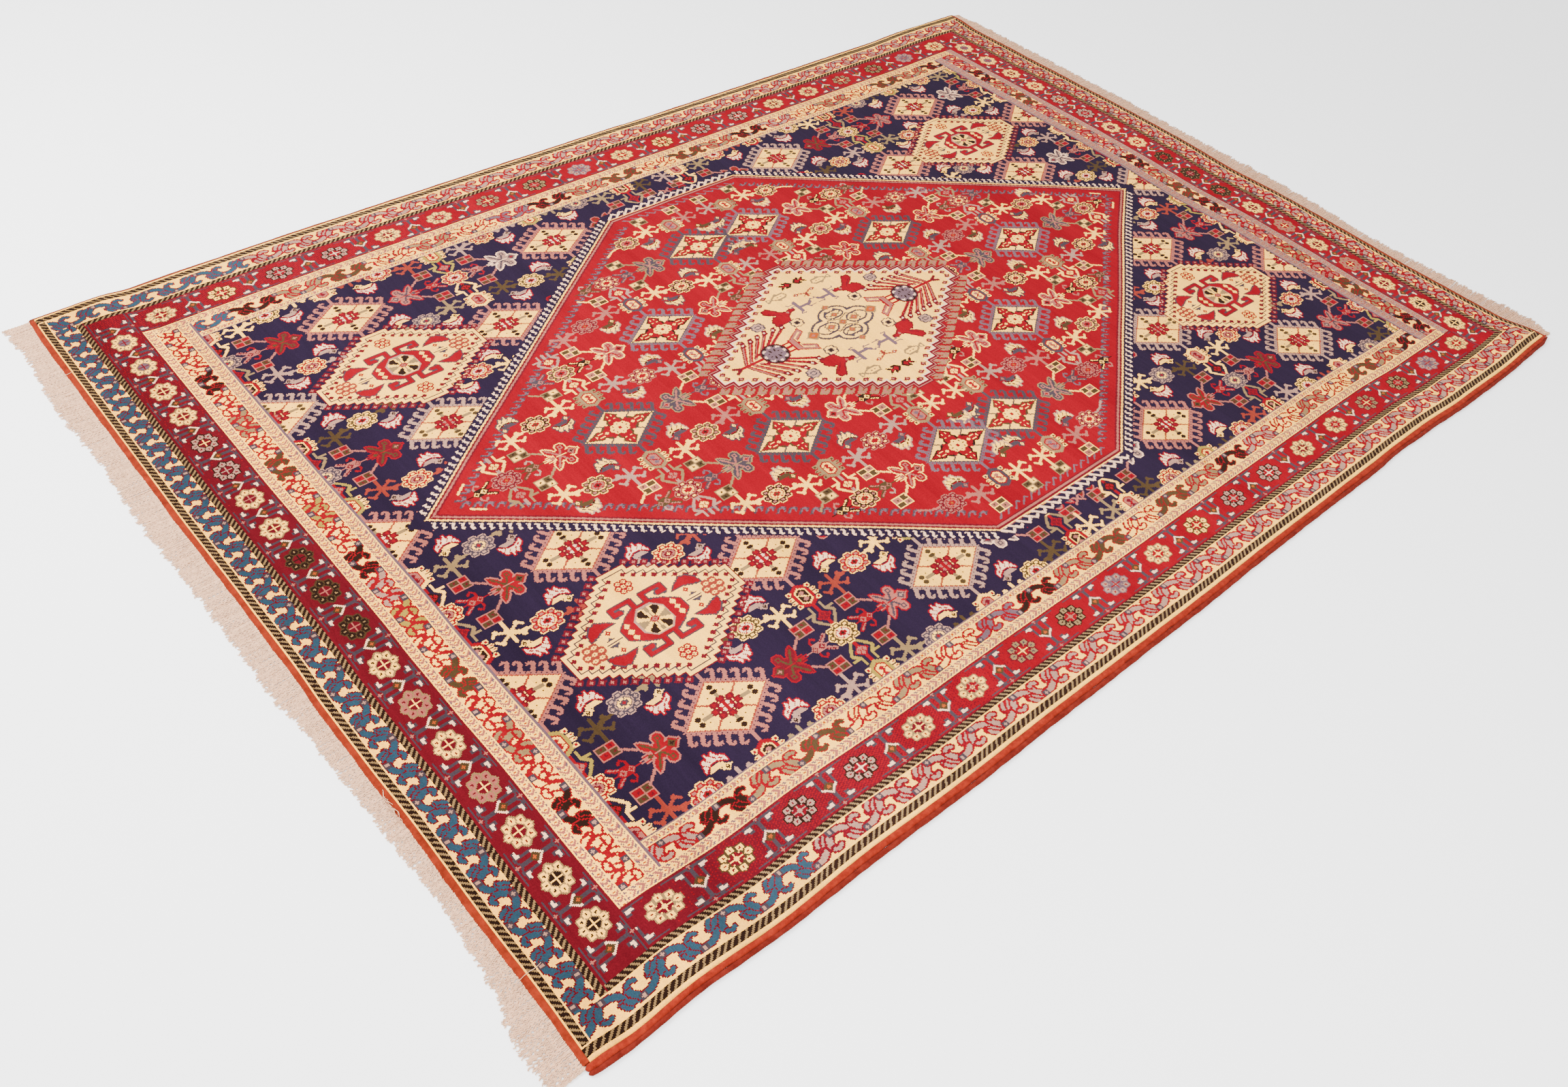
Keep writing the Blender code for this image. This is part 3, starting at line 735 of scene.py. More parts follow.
def weave():
    """The whole design."""
    cloth = np.full((KNOTS_ALONG, KNOTS_ACROSS), dye("C"), np.uint8)
    field = np.full(cloth.shape, dye("N"), np.uint8)
    lattice(field, NAVY_SETS, hooked_diamond(on_red=False))
    for fx, fy in QUARTERS:
        medallion(field, CENTRE[0] + 364 * fx, CENTRE[1] + 176 * fy)
    inwards = great_hexagon(field)
    lattice(field, RED_SETS, hooked_diamond(on_red=True), inwards > 9)
    middle_diamond(field)
    # At the corners the bands butt: the long sides' run through, all but their red border,
    # which stops at the ends' own. Each row is a band's depths and where it starts.
    for sides, fills in ((cloth, SIDE_LEAVES.replace("VVBB", "DDBB", 1)), (cloth[:, ::-1], SIDE_LEAVES)):
        side = side_strip(fills)
        for outer, inner, start in SIDE_BANDS:
            sides[start:KNOTS_ALONG - start, outer:inner] = side[start:KNOTS_ALONG - start, outer:inner]
    for strip, ends in ((end_strip("D", "K", NEAR_LEAVES, 32.4, "C"), cloth),
                        (end_strip("V", "R", FAR_LEAVES, 34.0, "V"), cloth[::-1])):
        for outer, inner, start in END_BANDS:
            stop = KNOTS_ACROSS - start
            ends[outer:inner, start:stop] = strip.T[outer:inner, start:stop]
    cloth[FIELD] = field[FIELD]
    # Painted shade: towards the near end, red border knots turn dark madder, fewer further along the sides
    # and fewer on the far half.
    u, v = np.mgrid[0:KNOTS_ALONG, 0:KNOTS_ACROSS]
    share = np.interp(u, (0, 70, 120, 260, 460), (1.0, 1.0, 0.8, 0.5, 0.0))
    share = share * np.interp(v, (0, 412), (0.66, 1.0))
    in_border = (u < 66) | (v < 69) | (v > KNOTS_ACROSS - 70)
    turn = 0.8 * ((u * 73 + v * 151) % 97) / 97 + 0.2 * ((u * 29) % 37) / 37
    cloth[(cloth == dye("R")) & in_border & (turn < share)] = dye("K")
    return cloth


# ---------------------------------------------------------------------------------------------
# Where things lie: the CAD part's own tables, in mm.
# ---------------------------------------------------------------------------------------------
MM = 0.001
MIDDLE = (1464.0, 1036.5)
PILE_HEIGHT, PILE_RIM, PILE_ROUNDING = 10.0, 6.5, 6.0
# along, edge of the pile across, outer rim of the selvedge across
FAR_SIDE = ((-20, -8, -17), (35, -8, -18), (150, -12, -22), (215, -4, -15), (350, -8, -18),
            (600, -11, -21), (1000, -10, -20), (1450, -8, -18), (1700, -4, -14), (2100, -3, -14),
            (2500, -4, -14), (2700, -11, -21), (2895, -9, -19), (2960, -9, -16))
NEAR_SIDE = ((-20, 2070, 2080), (30, 2070, 2090), (90, 2074, 2092), (205, 2069, 2087),
             (385, 2076, 2094), (560, 2071, 2092), (780, 2074, 2095), (1020, 2071, 2093),
             (1400, 2071, 2092), (1800, 2067, 2087), (2120, 2066, 2087), (2210, 2065, 2083),
             (2330, 2066, 2086), (2520, 2074, 2094), (2720, 2077, 2095), (2895, 2072, 2090),
             (2960, 2072, 2079))
# across, edge of the pile along, outer rim of the band along
NEAR_END = ((-20, 10, -1), (70, 8.5, -4.5), (350, 9, -4), (700, 10, -2), (1000, 14, 2.5),
            (1190, 16, 4), (1290, 14, 2.5), (1420, 15, 3), (1600, 18.5, 6.5), (1780, 18, 5.5),
            (1930, 20, 8), (2100, 18, 6.5))
FAR_END = ((-20, 2915, 2929), (20, 2914, 2928), (105, 2905, 2919), (300, 2910, 2924),
           (520, 2916, 2930), (760, 2921, 2936), (920, 2921, 2936), (1120, 2912, 2927),
           (1300, 2919, 2933), (1480, 2914, 2929), (1680, 2907, 2921), (1960, 2907, 2921),
           (2055, 2930, 2944), (2100, 2931, 2945))
# across, reach of the fringe's tips along
NEAR_TIPS = ((-20, -58), (110, -52), (300, -63), (510, -53), (700, -59), (960, -50), (1210, -47),
             (1340, -35), (1560, -29), (1730, -23), (1880, -32), (1990, -55), (2100, -51))
FAR_TIPS = ((-20, 2955), (100, 2970), (480, 2981), (700, 2988), (900, 2984), (1180, 2991),
            (1370, 2986), (1530, 2969), (1760, 2974), (2000, 2990), (2100, 2972))
# soft swells of the pile: along, across, half-lengths, height
SWELLS = ((95, 30, 90, 110, 2.4), (210, 2040, 60, 90, 2.0), (600, 2040, 140, 70, 1.2),
          (2260, 2040, 110, 80, 2.2), (2850, 2030, 90, 90, 2.6), (2740, 30, 110, 90, 2.2),
          (1540, 20, 120, 60, 1.4), (2880, 820, 70, 240, 2.6), (2890, 1320, 60, 110, 1.8),
          (60, 1180, 60, 130, 1.2), (900, 980, 380, 60, 0.8), (2100, 1300, 60, 420, 0.8))
# how the straight design lies on the rug: knots against mm, along and across
STRETCH_ALONG = ((0, 104, 588, 1072, 1176), (0.0, 264.0, 1466.0, 2626.0, 2900.0))
STRETCH_ACROSS = ((0, 102, 412, 722, 824), (0.0, 254.0, 1018.0, 1838.0, 2079.0))


def eased(table, column, at):
    """A table's column read anywhere: smoothstep from each row to the next."""
    table = np.array(table, float)
    at = np.asarray(at, float)
    row = np.clip(np.searchsorted(table[:, 0], at, side="right") - 1, 0, len(table) - 2)
    share = np.clip((at - table[row, 0]) / (table[row + 1, 0] - table[row, 0]), 0, 1)
    share = share * share * (3 - 2 * share)
    return table[row, column] * (1 - share) + table[row + 1, column] * share


def lerp(start, end, share):
    return start + (end - start) * share


def corners(low, high, order):
    """A value of each face's four corners, from its low and high side: order is like "0011"."""
    return np.stack([(low, high)[int(k)] for k in order], -1)


def plan_of(u, v):
    """Plan place of knots u along and v across: the Coons patch of the pile's four edges,
    P = between ends + between sides - between corners, at s = a(u) / a(end), t = b(v) / b(end)."""
    s = (np.interp(u, *STRETCH_ALONG) / STRETCH_ALONG[1][-1])[:, None]
    t = (np.interp(v, *STRETCH_ACROSS) / STRETCH_ACROSS[1][-1])[None, :]

    def end(table, shares):
        corner = table[0][1]
        across = lerp(eased(FAR_SIDE, 1, corner), eased(NEAR_SIDE, 1, corner), shares)
        return np.stack((eased(table, 1, across), across), -1)

    def side(table, shares):
        corner = table[0][1]
        along = lerp(eased(NEAR_END, 1, corner), eased(FAR_END, 1, corner), shares)
        return np.stack((along, eased(table, 1, along)), -1)

    near, far, left, right = end(NEAR_END, t), end(FAR_END, t), side(FAR_SIDE, s), side(NEAR_SIDE, s)
    s, t = s[..., None], t[..., None]
    corner = lerp(lerp(near[:, :1], far[:, :1], s), lerp(near[:, -1:], far[:, -1:], s), t)
    return lerp(near, far, s) + lerp(left, right, t) - corner


def swell(plan):
    """Sum of h exp(-((x - x0) / a)^2 - ((y - y0) / b)^2) over the soft swells."""
    return sum(h * np.exp(-((plan[..., 0] - x) / a) ** 2 - ((plan[..., 1] - y) / b) ** 2)
               for x, y, a, b, h in SWELLS)


def nap(plan):
    """The pile's own unevenness, under half a millimetre: a few crossed sine waves."""
    x, y = plan[..., 0], plan[..., 1]
    return (0.16 * np.sin(x / 19.0 + 0.9 * np.sin(y / 57.0))
            + 0.14 * np.sin(y / 15.0 + 1.3 * np.sin(x / 83.0))
            + 0.12 * np.sin((x + y) / 9.3) * np.sin((x - 1.7 * y) / 31.0))


def pile_top(u, v):
    """Height of the pile over the floor: level, swells and nap, and at the rim a quarter round,
    z = rim + (top - rim) sqrt(1 - (1 - d / 6)^2) at a distance d from the edge."""
    plan = plan_of(u, v)
    x, y = np.interp(u, *STRETCH_ALONG)[:, None], np.interp(v, *STRETCH_ACROSS)[None, :]
    away = np.minimum(np.minimum(x, STRETCH_ALONG[1][-1] - x), np.minimum(y, STRETCH_ACROSS[1][-1] - y))
    away = np.clip(away / PILE_ROUNDING, 0, 1)
    swells = swell(plan)
    top = PILE_HEIGHT + swells + nap(plan)
    rim = PILE_RIM + 0.5 * swells
    height = rim + (top - rim) * np.sqrt(1 - (1 - away) ** 2)
    return np.concatenate((plan, height[..., None]), -1)


def placed(points):
    """Plan points in mm as points of the frame in metres."""
    points = np.asarray(points, float)
    return np.stack(((points[..., 0] - MIDDLE[0]) * MM, (MIDDLE[1] - points[..., 1]) * MM,
                     points[..., 2] * MM), -1)


# ---------------------------------------------------------------------------------------------
# Meshes
# ---------------------------------------------------------------------------------------------
def new_object(name, points, quads, polygons, material, smooth=True):
    """An object at the origin, with points in plan mm; quads is an array, polygons a list."""
    mesh = bpy.data.meshes.new(name)
    loops = np.concatenate([np.asarray(quads, np.int64).ravel()] + [np.asarray(p) for p in polygons])
    sizes = np.concatenate((np.full(len(quads), 4), [len(p) for p in polygons])).astype(int)
    mesh.vertices.add(len(points))
    mesh.vertices.foreach_set("co", placed(points).ravel())
    mesh.loops.add(len(loops))
    mesh.loops.foreach_set("vertex_index", loops.astype(np.int32))
    mesh.polygons.add(len(sizes))
    mesh.polygons.foreach_set("loop_start", np.concatenate(([0], np.cumsum(sizes)[:-1])).astype(np.int32))
    mesh.polygons.foreach_set("use_smooth", np.full(len(sizes), smooth))
    mesh.update(calc_edges=True)
    mesh.materials.append(material)
    piece = bpy.data.objects.new(name, mesh)
    bpy.context.scene.collection.objects.link(piece)
    return piece


def add_values(piece, name, kind, domain, values):
    """Give a piece a number or three for each face, for its material to read."""
    attribute = piece.data.attributes.new(name, kind, domain)
    attribute.data.foreach_set("vector" if kind == "FLOAT_VECTOR" else "value",
                               np.ascontiguousarray(values, np.float32).ravel())


def lay_out(piece, name, uv):
    """Give a piece a map, with a place for each of its faces' corners."""
    piece.data.uv_layers.new(name=name).data.foreach_set("uv", uv.astype(np.float32).ravel())


def from_rings(name, rings, material, folds=0):
    """Closed tubes from their rings, [tube, ring, point, 3], each ring turning from the side
    S towards up U with S x U along the tube; both ends get a cap. A long tube's finish is laid
    out on its own map, its length folded into that many rows."""
    tubes, count, around = rings.shape[:3]
    index = np.arange(tubes * count * around).reshape(tubes, count, around)
    after = np.roll(index, -1, 2)
    quads = np.stack((index[:, :-1], after[:, :-1], after[:, 1:], index[:, 1:]), -1).reshape(-1, 4)
    caps = [ring for tube in index for ring in (tube[0, ::-1], tube[-1])]
    piece = new_object(name, rings.reshape(-1, 3), quads, caps, material)
    if folds:
        place, side = np.indices((count - 1, around)).reshape(2, -1)
        per_row = math.ceil((count - 1) / folds)
        row = place // per_row
        start = (place - row * per_row) / per_row
        low = (row + 0.02 + 0.9 * side / around) / folds
        u = corners(start, start + 1 / per_row, "0011") * 0.99
        v = corners(low, low + 0.9 / around / folds, "0110")
        spot = np.arange(around) * 2 * np.pi / around
        cap_u = [0.4 + 0.3 * k + 0.1 * np.cos(spot) for k in (0, 1)]
        cap_v = [(folds - 0.04 + 0.02 * np.sin(spot)) / folds] * 2
        uv = np.stack((np.concatenate((u.ravel(), *cap_u)), np.concatenate((v.ravel(), *cap_v))), -1)
        lay_out(piece, "OFBake", uv)
    return piece


def round_rings(paths, wide, high, around):
    """Rings about paths [tube, point, 3]: path + wide cos(a) S + high sin(a) U, where S is
    level and square to the path. Wide and high may change from point to point and round it.
    Plan mm are left-handed (across runs against Y), so S is turned accordingly."""
    tangent = np.gradient(paths, axis=1)
    tangent /= np.maximum(np.linalg.norm(tangent, axis=-1, keepdims=True), 1e-9)
    side = np.stack((tangent[..., 1], -tangent[..., 0], np.zeros(tangent.shape[:-1])), -1)
    side /= np.maximum(np.linalg.norm(side, axis=-1, keepdims=True), 1e-9)
    up = np.zeros_like(side) + (0.0, 0.0, 1.0)
    angle = np.arange(around) * 2 * np.pi / around
    wide, high = (np.broadcast_to(r, paths.shape[:2] + (around,)) for r in (wide, high))
    return (paths[:, :, None] + (wide * np.cos(angle))[..., None] * side[:, :, None]
            + (high * np.sin(angle))[..., None] * up[:, :, None])


# ---------------------------------------------------------------------------------------------
# Materials
# ---------------------------------------------------------------------------------------------
def srgb(text):
    """An sRGB hex colour as Blender's linear one."""
    channels = np.array([int(text[k:k + 2], 16) for k in (1, 3, 5)]) / 255.0
    linear = np.where(channels <= 0.04045, channels / 12.92, ((channels + 0.055) / 1.055) ** 2.4)
    return (*map(float, linear), 1.0)


def add(tree, kind, values=(), **settings):
    """Add a shader node. Values pair an input with a number, a colour, another node (its first
    output) or one of its outputs."""
    node = tree.nodes.new("ShaderNode" + kind)
    for key, value in settings.items():
        setattr(node, key, value)
    for key, value in dict(values).items():
        if isinstance(value, bpy.types.Node):
            value = value.outputs[0]
        if isinstance(value, bpy.types.NodeSocket):
            tree.links.new(value, node.inputs[key])
        else:
            node.inputs[key].default_value = value
    return node


def set_stops(ramp, colours, places):
    """Give a ramp its colours, each from its place on."""
    while len(ramp.elements) < len(colours):
        ramp.elements.new(0.5)
    for stop, place in zip(ramp.elements, places):
        stop.position = place
    for stop, colour in zip(ramp.elements, colours):
        stop.color = srgb(colour)


def new_material(name, roughness, sheen=0.0):
    """A rough stuff; on wool and cotton, the pale halo of the fibres seen aslant is the sheen."""
    material = bpy.data.materials.new(name)
    material.use_nodes = True
    shader = material.node_tree.nodes["Principled BSDF"]
    shader.inputs["Roughness"].default_value = roughness
    shader.inputs["Specular IOR Level"].default_value = 0.02
    shader.inputs["Sheen Weight"].default_value = sheen
    shader.inputs["Sheen Roughness"].default_value = 0.6
    shader.inputs["Sheen Tint"].default_value = srgb("#FFEFE6")
    return material, material.node_tree, shader


# The dyes, in the order of their letters: N navy, R madder red, C cream ground, P pale pink,
# B brown-black, G grey-blue outline, D denim blue, O olive brown, T tan, L lilac, A orange,
# W undyed white, K dark madder, Y straw, S salmon, V grey-cream.
DYE_COLOURS = ("#1E1425", "#780313", "#F5B54A", "#8F5145", "#24150F", "#3A3035", "#293F4B", "#3F2F1C",
               "#7B613F", "#5C464C", "#934115", "#E0B28C", "#560F19", "#8A722D", "#7D2C21", "#936D5C")


def knot_colour(tree, stray):
    """The dye of the knot at a point: its row's number holds four dyes in base 16, so the dye is
    floor(number / 16^column) mod 16. `stray` blurs the knots' edges, in knots, as wool does."""
    place = add(tree, "TexCoord").outputs["Object"]
    fuzz = add(tree, "TexNoise", {"Vector": place, "Scale": 620.0, "Detail": 1.0})
    fuzz = add(tree, "VectorMath", {0: fuzz.outputs["Color"], 1: (0.5, 0.5, 0.5)}, operation="SUBTRACT")
    fuzz = add(tree, "VectorMath", {0: fuzz, "Scale": stray}, operation="SCALE")
    block = add(tree, "VectorMath", {0: add(tree, "UVMap", uv_map="Knots"), 1: fuzz}, operation="ADD")
    block = add(tree, "VectorMath", {0: block, 1: (0.0, 0.0, 0.0)}, operation="MAXIMUM")
    block = add(tree, "VectorMath", {0: block, 1: (3.999, 3.999, 0.0)}, operation="MINIMUM")
    cell = add(tree, "SeparateXYZ", {0: add(tree, "VectorMath", {0: block}, operation="FLOOR")})
    first_rows = add(tree, "Attribute", attribute_name="knots").outputs["Vector"]
    last_row = add(tree, "Attribute", attribute_name="last_row").outputs["Fac"]
    number = 0.0
    for row, value in enumerate((*add(tree, "SeparateXYZ", {0: first_rows}).outputs, last_row)):
        here = add(tree, "Math", {0: cell.outputs["Y"], 1: float(row), 2: 0.4}, operation="COMPARE")
        number = add(tree, "Math", {0: here, 1: value, 2: number}, operation="MULTIPLY_ADD")
    number = add(tree, "Math", {0: number, 1: 0.5}, operation="ADD")
    power = add(tree, "Math", {0: 16.0, 1: cell.outputs["X"]}, operation="POWER")
    number = add(tree, "Math", {0: number, 1: power}, operation="DIVIDE")
    number = add(tree, "Math", {0: number}, operation="FLOOR")
    digit = add(tree, "Math", {0: number, 1: 16.0}, operation="FLOORED_MODULO")
    share = add(tree, "Math", {0: digit, 1: 0.5}, operation="ADD")
    share = add(tree, "Math", {0: share, 1: 16.0}, operation="DIVIDE")
    ramp = add(tree, "ValToRGB", {0: share})
    ramp.color_ramp.interpolation = "CONSTANT"
    set_stops(ramp.color_ramp, DYE_COLOURS, [k / 16.0 for k in range(16)])
    return ramp.outputs["Color"], place


def pile_material():
    """Cut wool pile: the knots' dyes, bands along the weft where a dye lot changed (abrash),
    finer streaks, tufts a little lighter or darker, painted shade that darkens and deepens the
    colours towards the near end, and a soft surface with no gloss."""
    material, tree, shader = new_material("knotted_wool_pile", 0.95, 0.01)
    colour, place = knot_colour(tree, 0.9)
    light = 1.0
    for stretch, scale, detail, roughness, darkest, lightest in (
            ((14.0, 0.7, 0.0), 1.0, 3.0, 0.6, 0.84, 1.14),      # bands
            ((150.0, 9.0, 0.0), 1.0, 2.0, 0.5, 0.93, 1.07),     # streaks
            ((1.0, 1.0, 1.0), 420.0, 2.0, 0.7, 0.80, 1.16)):    # tufts
        drawn_out = add(tree, "Mapping", {"Vector": place, "Scale": stretch})
        noise = add(tree, "TexNoise", {"Vector": drawn_out, "Scale": scale, "Detail": detail,
                                       "Roughness": roughness})
        shade = add(tree, "MapRange", {"Value": noise.outputs["Fac"], "From Min": 0.3, "From Max": 0.7,
                                       "To Min": darkest, "To Max": lightest})
        light = add(tree, "Math", {0: light, 1: shade}, operation="MULTIPLY")
    colour = add(tree, "HueSaturation", {"Color": colour, "Value": light, "Saturation": 1.0})
    # painted shade: a gamma from 1.16 at the near end to 1.0 further in darkens and deepens every colour
    # there; no dye does this
    from_middle = add(tree, "SeparateXYZ", {0: place}).outputs["X"]
    depth = add(tree, "MapRange", {"Value": from_middle, "From Min": -1.47, "From Max": -0.95,
                                   "To Min": 1.16, "To Max": 1.0})
    colour = add(tree, "Gamma", {"Color": colour, "Gamma": depth})
    tree.links.new(colour.outputs["Color"], shader.inputs["Base Color"])
    height = add(tree, "TexNoise", {"Vector": place, "Scale": 300.0, "Detail": 3.0, "Roughness": 0.65})
    clumps = add(tree, "TexNoise", {"Vector": place, "Scale": 70.0, "Detail": 2.0})
    height = add(tree, "Math", {0: clumps.outputs["Fac"], 1: 1.2, 2: height.outputs["Fac"]},
                 operation="MULTIPLY_ADD")
    bump = add(tree, "Bump", {"Height": height, "Strength": 0.35, "Distance": 0.0016})
    tree.links.new(bump.outputs["Normal"], shader.inputs["Normal"])
    return material


def back_material():
    """The rug's back: the same knots, flatter and duller, ribbed by the wefts between rows."""
    material, tree, shader = new_material("knotted_wool_back", 0.95, 0.01)
    colour, place = knot_colour(tree, 0.35)
    wefts = add(tree, "TexWave", {"Vector": place, "Scale": 40.0, "Distortion": 0.6, "Detail": 1.0,
                                  "Detail Scale": 30.0}, bands_direction="X", wave_type="BANDS")
    share = add(tree, "MapRange", {"Value": wefts.outputs["Fac"], "To Min": 0.0, "To Max": 0.35})
    colour = add(tree, "Mix", {0: share, 6: colour, 7: srgb("#C9B49A")}, data_type="RGBA")
    tree.links.new(colour.outputs[2], shader.inputs["Base Color"])
    bump = add(tree, "Bump", {"Height": wefts.outputs["Fac"], "Strength": 0.4, "Distance": 0.0008})
    tree.links.new(bump.outputs["Normal"], shader.inputs["Normal"])
    return material


def yarn_material(name, colours, sheen, scale):
    """Spun yarn: its dye wanders between a few near shades along the piece; the turns and
    plies are in the mesh."""
    material, tree, shader = new_material(name, 0.9, sheen)
    place = add(tree, "TexCoord").outputs["Object"]
    shades = add(tree, "TexNoise", {"Vector": place, "Scale": scale, "Detail": 3.0, "Roughness": 0.7})
    ramp = add(tree, "ValToRGB", {0: shades.outputs["Fac"]})
    set_stops(ramp.color_ramp, colours, (0.3, 0.5, 0.7))
    tree.links.new(ramp.outputs["Color"], shader.inputs["Base Color"])
    return material


# ---------------------------------------------------------------------------------------------
# The pile and its foundation
# ---------------------------------------------------------------------------------------------
BLOCK = 4                                   # knots to a face, each way
STRIPS = 20                                 # the pile's pieces, from end to end
FOLDS = (0, 208, 412, 616, 824)             # where a strip's map folds, in knots across
RIM_LINES = (0.0, 0.12, 0.4, 0.85, 1.5, 2.4)  # knots; close lines where the rim rounds down
FOUNDATION_TOP, STRIP_BOTTOM = 3.0, 2.6
MAP_ROW, MAP_STEP = 0.241, 0.2445           # height of a row of a strip's map, and one to the next
MAP_KNOTS = 209.0                           # knots across the map's width


def grid_lines(knots):
    """Grid lines every four knots, and close together inside both rims."""
    rim = np.array(RIM_LINES)
    return np.concatenate((rim, np.arange(BLOCK, knots - BLOCK + 1, BLOCK), knots - rim[::-1]))


def packed_blocks(cloth):
    """Each block of 4 x 4 knots as four numbers, one to a row across: the sum of dye 16^column."""
    along, across = cloth.shape[0] // BLOCK, cloth.shape[1] // BLOCK
    blocks = cloth.reshape(along, BLOCK, across, BLOCK).astype(float)
    return np.einsum("aibj,i->abj", blocks, 16.0 ** np.arange(BLOCK))


def dress(piece, face_blocks, corners_u, corners_v, blocks):
    """Give each face its block's numbers and each of its corners its place in the block."""
    numbers = blocks[face_blocks[:, 0], face_blocks[:, 1]]
    add_values(piece, "knots", "FLOAT_VECTOR", "FACE", numbers[:, :3])
    add_values(piece, "last_row", "FLOAT", "FACE", numbers[:, 3])
    lay_out(piece, "Knots", np.stack([np.concatenate([c.ravel() for c in part])
                                      for part in (corners_u, corners_v)], -1))


def sheet_faces(u, v):
    """For a sheet of points on grid lines u and v: its faces, the ring of points round its edge,
    each face's block of knots, and its corners' places in that block, along and across."""
    index = np.arange(len(u) * len(v)).reshape(len(u), len(v))
    quads = np.stack((index[:-1, :-1], index[:-1, 1:], index[1:, 1:], index[1:, :-1]), -1).reshape(-1, 4)
    ring = np.concatenate((index[:-1, 0], index[-1, :-1], index[:0:-1, -1], index[0, :0:-1]))
    block_u, block_v = (((w[:-1] + w[1:]) / 2 // BLOCK).astype(int) for w in (u, v))
    blocks, low, high = (np.stack(np.meshgrid(a, b, indexing="ij"), -1).reshape(-1, 2) for a, b in (
        (block_u, block_v), (u[:-1] - BLOCK * block_u, v[:-1] - BLOCK * block_v),
        (u[1:] - BLOCK * block_u, v[1:] - BLOCK * block_v)))
    return (quads, ring, blocks, corners(low[:, 0], high[:, 0], "0011"),
            corners(low[:, 1], high[:, 1], "0110"))


def strip_map(u, v, ring_length):
    """The map that a strip's finish is laid out on: the top folded across into four rows, one
    above the other; over them its walls unrolled into five thin lines, and its bottom."""
    folds = np.array(FOLDS)
    fold = np.searchsorted(folds, (v[:-1] + v[1:]) / 2) - 1
    across = [(v[k:len(v) - 1 + k] - folds[fold]) / MAP_KNOTS for k in (0, 1)]
    high = (u - u[0]) / (u[-1] - u[0]) * MAP_ROW
    low_u, low_v = np.meshgrid(high[:-1], across[0], indexing="ij")
    high_u, high_v = np.meshgrid(high[1:], across[1], indexing="ij")
    lift = fold * MAP_STEP
    top_x = corners(low_v, high_v, "0110")
    top_y = corners(low_u + lift, high_u + lift, "0011")
    share = np.arange(ring_length + 1) / ring_length
    line = np.minimum((share[:-1] + share[1:]) / 2 * 5, 4.999).astype(int)
    wall_x = np.clip(corners(share[:-1], share[1:], "0110") * 5 - line[:, None], 0, 1)
    wall_y = 0.9845 + 0.003 * line[:, None] + np.array((0.0, 0.0, 0.002, 0.002))
    turn = share[:-1] * 2 * np.pi
    return np.stack((
        np.concatenate((top_x.ravel(), wall_x.ravel(), 0.5 + 0.4 * np.cos(turn))),
        np.concatenate((top_y.ravel(), wall_y.ravel(), 0.981 + 0.0015 * np.sin(turn))),
    ), -1)


def make_strip(name, u, v, surface, normals, blocks, material):
    """One closed strip of the pile: its part of the surface, four walls and a level bottom."""
    quads, ring, face_blocks, top_u, top_v = sheet_faces(u, v)
    top = surface.reshape(-1, 3)
    under = top[ring] * (1, 1, 0) + (0, 0, STRIP_BOTTOM)
    low = len(top) + np.arange(len(ring))
    walls = np.stack((ring, np.roll(ring, -1), np.roll(low, -1), low), -1)
    # a wall shows the knots that stand half a knot inside it
    wall_blocks, wall_corners = [], []
    for at, lines in ((ring // len(v), u), (ring % len(v), v)):
        ends = np.clip(np.stack((lines[at], np.roll(lines[at], -1)), -1), lines[0] + 0.5, lines[-1] - 0.5)
        wall_blocks.append((ends.mean(1) // BLOCK).astype(int))
        wall_corners.append(ends[:, (0, 1, 1, 0)] - BLOCK * wall_blocks[-1][:, None])
    piece = new_object(name, np.concatenate((top, under)), np.concatenate((quads, walls)), [low], material)
    bottom = np.full(len(ring), 0.5)
    dress(piece, np.concatenate((face_blocks, np.stack(wall_blocks, -1), face_blocks[:1])),
          (top_u, wall_corners[0], bottom), (top_v, wall_corners[1], bottom), blocks)
    lay_out(piece, "OFBake", strip_map(u, v, len(ring)))
    # the strips share the whole surface's own normals, so that no seam shows
    flat = np.zeros(len(piece.data.polygons) * 3, np.float32)
    piece.data.polygons.foreach_get("normal", flat)
    flat = flat.reshape(-1, 3)
    piece.data.normals_split_custom_set(np.concatenate((
        normals.reshape(-1, 3)[quads.ravel()], np.repeat(flat[len(quads):-1], 4, 0),
        np.repeat(flat[-1:], len(ring), 0))).tolist())
    return piece


def make_pile(cloth, material):
    """The pile in strips from side to side, so that each one's own map is fine enough."""
    u, v = (grid_lines(knots) for knots in cloth.shape)
    surface = pile_top(u, v)
    normals = np.cross(np.gradient(placed(surface), axis=1), np.gradient(placed(surface), axis=0))
    normals /= np.linalg.norm(normals, axis=-1, keepdims=True)
    blocks = packed_blocks(cloth)
    cuts = np.round(np.linspace(0, KNOTS_ALONG // BLOCK, STRIPS + 1)).astype(int) * BLOCK
    strips = []
    for k, (start, stop) in enumerate(zip(cuts[:-1], cuts[1:])):
        rows_here = np.flatnonzero((u >= start) & (u <= stop))
        part = slice(rows_here[0], rows_here[-1] + 1)
        strips.append(make_strip(f"pile_{k + 1:02d}", u[part], v, surface[part], normals[part],
                                 blocks, material))
    return strips


